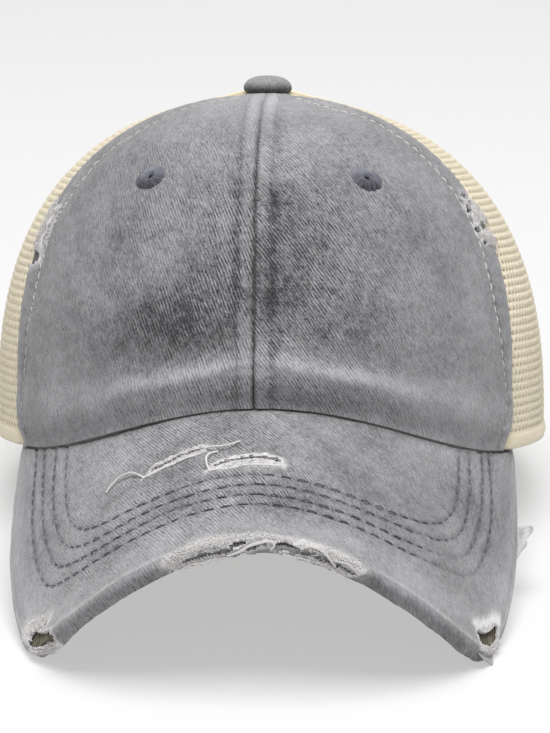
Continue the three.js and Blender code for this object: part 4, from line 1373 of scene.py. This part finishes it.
# %% Visor's lower cloth
def visor_lower():
    """The same surface 3.6 mm down and 1.3 mm in from the edge, sunk along the same stitch rows."""
    u, v = np.meshgrid(np.linspace(-1, 1, 161), np.linspace(0, 1, 56), indexing="ij")
    flat = visor(u, v)
    rows = np.stack([distance_to(flat, visor(line[::3, 0], line[::3, 1])) for line in rows_on_visor])
    sink = 0.25 * bump_shape(rows, 0.8).max(0) + 0.08 * ripples(flat[..., 0], flat[..., 1], 6, 61)
    outer, inner = visor(u, v, -LOWER_TOP, LOWER_INSET), visor(u, v, sink - LOWER_FOOT, LOWER_INSET)
    # Painted shade: the tone is darker along the sunk stitch rows.
    marks = {"tone": 0.02 - 0.15 * bump_shape(rows, 0.9).max(0), "worn": 0.0}
    uv = grain(flat[..., 0], flat[..., 1], 60)
    cloth_piece("visor_cloth_lower", outer, inner, uv, TWILL, ["visor_lower_cloth"], marks)


visor_lower()

# %% [markdown]
# ## Stitches
# The visor's four rows and the crown's centre seam are sewn in blue-grey thread that has kept its colour,
# and the edge beside the net in cream. Painted dashes would catch no light, so each stitch is a short
# thread that rises out of the cloth and sinks back into it.

# %% Rows of stitches
def on_visor(line, out):
    return visor(line[:, 0], line[:, 1], np.asarray(out) - 0.16)


def under_visor(line, out):
    return visor(line[:, 0], line[:, 1], 0.18 - LOWER_FOOT - np.asarray(out), LOWER_INSET)


rng = np.random.default_rng(5)
clear_of_crown = [line[line[:, 1] > 0.045] for line in rows_on_visor]
visor_rows = np.concatenate([stitches(on_visor, line, length=2.9, space=1.9, height=0.2)
                             for line in clear_of_crown])
threads("visor_stitches", visor_rows, 0.2, BLUE_THREAD, 6,
        {"tone": rng.uniform(-0.3, 0.4, len(visor_rows))})
lower_rows = np.concatenate([stitches(under_visor, line, length=3.3, space=1.6, height=0.22)
                             for line in rows_on_visor])
threads("visor_stitches_below", lower_rows, 0.26, BLUE_THREAD, 5)


def stitch_line(side, from_edge):
    """The line of stitches up the front panel beside its outer edge, or else beside the centre seam."""
    v = np.linspace(0.004, 0.9, 220)
    by_edge = side_seam(v) - edge_stitch(v) / radius_at(v, SEAM_RADIUS)
    return np.stack([side * (by_edge if from_edge else SEAM_STITCH / radius_at(v, HALF_LENGTH)), v], -1)


def on_panel(side, from_edge):
    """Points on the panel's own uneven surface, in its seam groove or in the groove beside its edge."""
    def surface(line, out):
        theta, v = twisted(line[:, 0]), line[:, 1]
        width = np.interp(v, *PANEL_WIDTHS[side])
        across = width - edge_stitch(v) if from_edge else np.full(len(v), SEAM_STITCH)
        lift = panel_lift(side, across, width - across, v, crown(theta, v)[:, 0])
        return crown(theta, v, lift + np.asarray(out) - 0.02)
    return surface


edge_rows = np.concatenate([stitches(on_panel(side, True), stitch_line(side, True), length=2.8, space=0.6,
                                     height=0.26) for side in SIDES])
# The edge stitches are darker towards the foot, with a little random spread.
stitch_tone_by_height = smooth_step(10, 45, edge_rows[:, 2, 2]) * 0.55 - 0.22 + rng.uniform(-0.1, 0.1, len(edge_rows))
threads("edge_stitches", edge_rows, 0.2, PALE_THREAD, 6, {"tone": stitch_tone_by_height})
seam_rows = np.concatenate([stitches(on_panel(side, False), stitch_line(side, False), length=2.4, space=1.0,
                                     height=0.2) for side in SIDES])
threads("seam_stitches", seam_rows, 0.2, BLUE_THREAD, 5,
        {"tone": rng.uniform(0.0, 0.5, len(seam_rows))})

# %% [markdown]
# ## Button
# The button on top is a small metal dome covered with the same cloth, drawn tight and tucked under its rim.
# A flattened ball would have no such rim, so a profile with a turned-under edge goes once round the
# button's axis.

# %% Button
def crown_button():
    """A profile turned about the button's axis: under the rim, round its edge and over a low elliptic
    dome, with faint radial tucks at the edge. The pole and the middle of the underside are closed by
    triangles."""
    full, waist, dome, under = 7.8, 1.6, 4.0, 2.4
    foot = CROWN_HEIGHT + PEAK + 0.3 - full * 2 * PEAK / PEAK_REACH - 0.9
    pole = foot + waist + dome
    t = np.linspace(0, 1, 34)[1:]
    angle = -0.9 + (np.pi / 2 + 0.9) * t
    radius = full * np.where(angle > 0, np.cos(angle) ** 0.8, np.cos(angle) ** 0.5)
    height = foot + waist + np.where(angle > 0, dome, under) * np.sin(angle)
    radius, height = radius[:-1], height[:-1]
    turn = np.arange(72) * 2 * np.pi / 72
    tuck = 0.05 * np.sin(turn * 17)[None] * bump_shape((angle[:-1, None] + 0.3), 0.4)
    r = radius[:, None] + tuck
    level = np.broadcast_to(height[:, None], r.shape)
    points = np.stack([r * np.cos(turn) - LEAN, r * np.sin(turn), level], -1)
    rings, corners = r.shape
    index = np.arange(rings * corners).reshape(rings, corners)
    turned = np.roll(index, -1, 1)
    quads = np.stack([index[:-1], turned[:-1], turned[1:], index[1:]], -1).reshape(-1, 4)
    points = np.concatenate([points.reshape(-1, 3), [(-LEAN, 0, foot + 0.2), (-LEAN, 0, pole)]])
    low, high = rings * corners, rings * corners + 1
    fans = np.concatenate([np.stack([turned[0], index[0], np.full(corners, low)], -1),
                           np.stack([index[-1], turned[-1], np.full(corners, high)], -1)])
    profile = np.stack([radius[::-1], height[::-1]], -1)
    arc = along(np.concatenate([[[0.0, pole]], profile])[None], 1)[0][:0:-1]
    uv = np.stack([arc[:, None] * np.cos(turn), arc[:, None] * np.sin(turn)], -1).reshape(-1, 2)
    uv = np.concatenate([uv, [(arc[0] + 1, 0), (0, 0)]])
    spread = np.concatenate([np.repeat(height, corners), [foot, pole]])
    # Painted shade: the cover is darker low on the button, round and under its rim.
    tone = 0.12 - 0.5 * (1 - smooth_step(foot + 0.6, foot + 3.9, spread))
    marks = {"tone": tone, "worn": np.zeros(len(points)), "lined": np.zeros(len(points))}
    finish = washed_twill("button_cloth", (0.05, 0.05, 0.05), (0.42, 0.42, 0.42), 0.0, 0.7)
    make_piece("button_cover", points, [quads, fans], finish, ["crown_button"], uv, marks, 60)


crown_button()

# %% [markdown]
# ## Eyelets
# Each eyelet is a small hole bound by satin stitches. A ring of one smooth shape would look like metal, so
# every stitch is its own thread from the hole over the rim, packed side by side and not quite even.

# %% Eyelets
def eyelet(side, word):
    """Sixty-six threads set radially round a hole that is a little wider than high. Each rises like half a
    sine wave and sinks back into the cloth."""
    centre, normal = eyelet_place(side)
    across = unit(np.cross([0, 0, 1.0], normal))
    up = np.cross(normal, across)
    rng = np.random.default_rng(70 + side)
    count = 66
    turns = np.linspace(0, 2 * np.pi, count, endpoint=False) + rng.normal(0, 0.012, count)
    t = np.linspace(0, 1, 9)
    low = EYELET_HOLE + rng.normal(0, 0.08, count)
    high = EYELET_REACH + rng.normal(0, 0.2, count)
    r = low[:, None] + (high - low)[:, None] * t
    rise = 1.35 * np.sin(np.pi * t ** 0.8) ** 0.8 - 0.6 * t - 0.2
    skew = turns[:, None] + 0.1 * t
    paths = centre + r[..., None] * (np.cos(skew)[..., None] * across + 0.86 * np.sin(skew)[..., None] * up)
    paths = paths + (rise[:, None] - 0.1) * normal
    width = 0.17 + 0.13 * t
    # Painted light and shade: stitches on the upper side of the hole are lighter and those below darker.
    tone = 0.1 + 0.4 * np.sin(turns + 0.3 * side) + rng.uniform(-0.2, 0.2, count)
    piece = threads(f"eyelet_stitches_{word}", paths, width, EYELET, 6, {"tone": tone})
    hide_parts(f"eyelet_{word}")


for side, word in SIDES.items():
    eyelet(side, word)

# %% [markdown]
# ## Frayed yarns
# At the rips short white yarns stand up and curl, others bridge the slits, and a few long ones hang loose.
# Blender can grow hair there, but hair isn't a mesh and would be lost in the exported part. So each yarn is
# a thread: it starts on the line of a slit, leaves it at its own angle and bends as it goes.

# %% Yarns of the rips
def curls(starts, direction, normal, length, rng, steps, lie, curl, spread):
    """Short yarns: from each start along a direction turned at random by about spread, lifted off the
    surface by its normal, less so the more they lie, and bent sideways as the square of the way along."""
    count = len(starts)
    sideways = unit(np.cross(normal, direction))
    turn = rng.normal(0, spread, count)[:, None]
    heading = unit(direction * np.cos(turn) + sideways * np.sin(turn))
    bend = rng.normal(0, curl, count)[:, None, None] * 0.35
    size = (length * rng.uniform(0.45, 1.25, count))[:, None, None]
    t = np.linspace(0, 1, steps)[None, :, None]
    rise = rng.uniform(0.1, 1.0, count)[:, None, None] * (1 - lie) + 0.12
    path = heading[:, None] * t + sideways[:, None] * bend * t ** 2
    path = path + normal[:, None] * (rise * np.sin(t * 2.4) * 0.7)
    return starts[:, None] + path * size


def slit_yarns(line, half, rng, bridges, fringe):
    """So many yarns that bridge a slit and so many short curls on both of its lips."""
    dense = smooth_line(line, 200, 3)
    points, normal = visor(dense[:, 0], dense[:, 1], 0.1), visor_normal(dense[:, 0], dense[:, 1])
    forward = unit(np.gradient(points, axis=0))
    beside = np.cross(normal, forward)
    pick = np.linspace(4, 196, bridges).astype(int) + rng.integers(-3, 4, bridges)
    t = np.linspace(-1, 1, 6)[None, :, None]
    reach = (half + 0.5) * rng.uniform(0.9, 1.2, bridges)[:, None, None]
    slant = rng.normal(0, 0.25, bridges)[:, None, None]
    cross = points[pick][:, None] + (beside[pick][:, None] + forward[pick][:, None] * slant) * t * reach
    cross = cross + normal[pick][:, None] * (0.25 - 0.3 * (1 - t ** 2))
    pick = rng.integers(0, 200, fringe)
    lip = np.where(rng.random(fringe) < 0.5, -1, 1)[:, None]
    starts = points[pick] + beside[pick] * lip * (half + rng.uniform(0.1, 0.7, fringe))[:, None]
    fringe_paths = curls(starts, beside[pick] * lip, normal[pick], 1.15, rng, steps=6, lie=0.6, curl=1.6,
                         spread=1.2)
    return cross, fringe_paths


def loose(points, out, wobble, seed, steps=26):
    """One long yarn that lies loosely along measured places of the visor."""
    line = smooth_line(points, steps, 2)
    t = np.linspace(0, 1, steps)
    lift = out * np.sin(np.pi * t) + 0.3 + wobble * ripples(t * 30, t, 9, seed)
    return visor(line[:, 0], line[:, 1], lift)[None]


rng = np.random.default_rng(11)
yarns = []
for key, bridges, fringe in (("first", 11, 460), ("second", 14, 460)):
    line, half = SLITS[key]
    yarns += slit_yarns(line, half, rng, bridges, fringe)
threads("rip_yarns", np.concatenate(yarns), 0.1, FRAY, 3,
        {"tone": rng.uniform(-0.2, 0.3, sum(len(y) for y in yarns))})

# Yarns along the lips of the rips: points as shares across and out, radius in millimetres, and tone.
RIP_LIPS = [
    ([(-0.294, 0.396), (-0.245, 0.386), (-0.19, 0.374), (-0.145, 0.361), (-0.122, 0.349)], 0.34, 0.15),
    ([(-0.275, 0.35), (-0.245, 0.333), (-0.2, 0.315), (-0.16, 0.304), (-0.128, 0.3)], 0.14, -0.1),
    ([(-0.09, 0.51), (-0.05, 0.52), (-0.01, 0.515), (0.012, 0.512), (0.032, 0.512)], 0.38, 0.15),
    ([(-0.088, 0.502), (-0.05, 0.506), (-0.01, 0.5), (0.012, 0.498), (0.03, 0.5)], 0.24, -0.1),
    ([(-0.085, 0.468), (-0.06, 0.452), (-0.035, 0.442), (-0.01, 0.438), (0.012, 0.45), (0.028, 0.47)], 0.14,
     -0.05),
]
lips = [loose(line, 0.05, 0.12, 84 + k, 40) for k, (line, _, _) in enumerate(RIP_LIPS)]
uneven = 1 + 0.4 * ripples(np.arange(5)[:, None] * 9.0, np.arange(40.0)[None], 4, 89)
lip_sizes = np.array([radius for _, radius, _ in RIP_LIPS])[:, None] * np.clip(uneven, 0.4, 1.6)
threads("rip_lips", np.concatenate(lips), lip_sizes, FRAY, 6,
        {"tone": [tone for _, _, tone in RIP_LIPS]})

# Loose yarns: points as shares across and out, height of the arc in millimetres, wobble, seed, and tone.
LOOSE_YARNS = [
    ([(-0.43, 0.377), (-0.411, 0.35), (-0.389, 0.328), (-0.346, 0.334), (-0.309, 0.372), (-0.295, 0.39)],
     0.7, 0.1, 81, 0.2),
    ([(-0.126, 0.322), (-0.104, 0.351), (-0.081, 0.365), (-0.056, 0.362), (-0.045, 0.345), (-0.038, 0.32)],
     1.2, 0.15, 82, 0.25),
    ([(-0.085, 0.37), (-0.099, 0.392), (-0.102, 0.432), (-0.096, 0.475), (-0.088, 0.504)], 1.3, 0.1, 83, 0.2),
]
tails = np.concatenate([loose(line, out, wobble, seed) for line, out, wobble, seed, _ in LOOSE_YARNS])
threads("loose_yarns", tails, 0.3, FRAY, 6, {"tone": [tone for *_, tone in LOOSE_YARNS]})

# %% [markdown]
# ## Fluff
# Round the worn places the cloth's own fibres stand out as pale fluff. A soft texture would keep the hard
# outline of the holes, so the fluff is thousands of very short three-sided threads, scattered about the
# worn lines.

# %% Fluff
def edge_fluff(line, half, count, length, rng):
    """Fine short fibres scattered about a line near the visor's edge, nearly flat, in all directions."""
    dense = smooth_line([(edge_run(u), s) for u, s in line], 200, 3)
    pick = rng.integers(0, 200, count)
    u = np.interp(dense[pick, 0] + rng.normal(0, 0.5, count), edge_lengths, edge_table)
    base, normal = edge_place(u, dense[pick, 1] + rng.normal(0, half, count), 0.03)
    outward = visor_edge(u) - visor_root(u)
    outward = unit(outward - normal * np.einsum("ij,ij->i", outward, normal)[:, None])
    return curls(base, outward, normal, length, rng, steps=4, lie=0.85, curl=1.6, spread=1.7)


def seam_fluff(side, v, inwards, half, count, length, rng):
    """A tuft of fine fibres on the panel's frayed edge, round a share of the way up and a distance
    inwards."""
    v = v + rng.normal(0, half, count) / SIDE_LENGTH
    inwards = inwards + rng.normal(0, half, count)
    theta = twisted(side * (side_seam(v) - inwards / radius_at(v, SEAM_RADIUS)))
    normal = crown_normal(theta, up_the_side(v))
    outward = unit(np.cross(normal, [0, 0, 1.0])) * -side
    return curls(crown(theta, v, 0.5), outward, normal, length, rng, steps=4, lie=0.45, curl=1.6, spread=1.7)


fluff = np.concatenate([edge_fluff(line, half * 0.42, int(len(line) * 190 * share), 1.0, rng)
                        for line, half, share in WORN_BANDS])
threads("worn_fluff", fluff, 0.07, FRAY, 3, {"tone": rng.uniform(-0.25, 0.2, len(fluff))})
# Tufts on the left panel: share up, millimetres in from the edge, half the spread in millimetres, fibres.
TUFTS = [(0.456, 4.0, 0.7, 260), (0.452, 1.2, 0.8, 220), (0.443, 5.6, 0.4, 60), (0.414, 6.4, 0.5, 90),
         (0.41, 3.4, 0.8, 260), (0.405, 0.6, 0.8, 220), (0.478, 1.6, 0.7, 150), (0.488, 6.4, 0.4, 40)]
fluff = []
for v, inwards, half, count in TUFTS:
    fluff.append(seam_fluff(1, v, inwards, half, count, 1.5, rng))
for v in np.linspace(0.39, 0.475, 7):
    fluff.append(seam_fluff(-1, v, 1.6, 1.1, 90, 1.4, rng))
fluff = np.concatenate(fluff)
threads("panel_fluff", fluff, 0.07, FRAY, 3, {"tone": rng.uniform(-0.25, 0.2, len(fluff))})

# %% [markdown]
# ## Shreds along the front edge
# Where the front edge is worn through, twisted shreds of cloth and yarn lie across the holes. Flat strips
# would look like paper, so each is a thick thread that swells in the middle and rises a little off the
# edge.

# %% Shreds along the front edge
# Points as a share across and millimetres past the rounding's start, radius in millimetres, and tone.
EDGE_LOOPS = [
    ([(-0.023, 5.0), (-0.014, 4.3), (-0.008, 3.5), (-0.003, 2.3), (0.002, 1.5), (0.008, 1.1), (0.0115, 1.9),
      (0.008, 3.2)], 0.42, -0.1),
    ([(0.04, 2.0), (0.054, 0.9), (0.067, 1.0), (0.08, 1.7), (0.091, 2.6), (0.103, 3.9)], 0.34, -0.2),
    ([(0.1, 2.2), (0.118, 1.9), (0.133, 2.3), (0.15, 3.2)], 0.3, -0.25),
    ([(0.02, 4.2), (0.034, 4.6), (0.046, 4.3), (0.06, 4.7)], 0.3, -0.3),
    ([(-0.1, 5.4), (-0.08, 4.9), (-0.06, 5.3), (-0.04, 5.1), (-0.02, 5.4)], 0.26, -0.2),
]
swelling = np.sin(np.linspace(0, np.pi, 30))
loops = []
for k, (line, _, _) in enumerate(EDGE_LOOPS):
    line = smooth_line([(edge_run(u), s) for u, s in line], 30, 2)
    lift = 0.35 + 0.25 * swelling + 0.1 * ripples(line[:, 0], line[:, 1], 3, 90 + k)
    loops.append(edge_place(np.interp(line[:, 0], edge_lengths, edge_table), line[:, 1], lift)[0])
widths = np.array([radius for _, radius, _ in EDGE_LOOPS])[:, None] * (0.75 + 0.25 * swelling)
threads("edge_loops", np.stack(loops), widths, FRAY, 7,
        {"tone": [tone for _, _, tone in EDGE_LOOPS]})

# %% [markdown]
# ## Torn scraps
# Two torn scraps of cloth stand out from the visor: a pale fin on the wearer's left side, and in front of
# it a small ragged tip that hangs from the worn corner. They leave the visor's surface, so its grid can't
# hold them. Each is a little sheet whose foot runs along the edge and whose height changes along it.

# %% Torn scraps
def torn_scrap(name, first, last, s, reach, away, peak, seed, paleness):
    """Foot along the edge between two shares, s millimetres past the rounding's start. The scrap stands
    out by its reach times a rise up to its peak and a slow fall after it. away holds how far it goes
    outwards and up for each millimetre of its height."""
    t, w = np.meshgrid(np.linspace(0, 1, 26), np.linspace(0, 1, 14), indexing="ij")
    u = first + (last - first) * t
    foot, normal = edge_place(u, s)
    tangent = unit(visor_edge(u + 0.005) - visor_edge(u - 0.005))
    outward = unit(np.cross(tangent, [0, 0, 1.0]) * np.sign(first))
    outward = outward * np.sign(np.einsum("...i,...i->...", outward, foot - [0, -90, 0]))[..., None]
    height = reach * smooth_step(0, peak, t) * (1 - t) ** 0.7 * (1 + 0.1 * ripples(t * 12, 0.0, 4, seed))
    crumple = 0.35 * ripples(t * 14, w * 5, 4, seed + 1) * w
    length = w * height - 0.8 * (1 - w)
    point = foot + (outward * away[0] + np.array([0, 0, away[1]])) * length[..., None]
    point = point + normal * crumple[..., None]
    back = point - unit(np.cross(outward, tangent)) * 0.45
    worn = paleness * (0.75 + 0.25 * ripples(t * 14, w * 6, 4, seed + 2))
    marks = {"tone": 0.1, "worn": worn, "lined": 0.0}
    return cloth_piece(name, point, back, grain(t * 14, w * 5, 50), TWILL, (), marks)


torn_scrap("torn_fin", first=0.918, last=0.858, s=0.8, reach=5.0, away=(1, 0.35), peak=0.14, seed=91,
           paleness=0.6)
torn_scrap("torn_tip", first=0.62, last=0.535, s=2.0, reach=4.4, away=(0.5, -0.8), peak=0.5, seed=92,
           paleness=0.25)
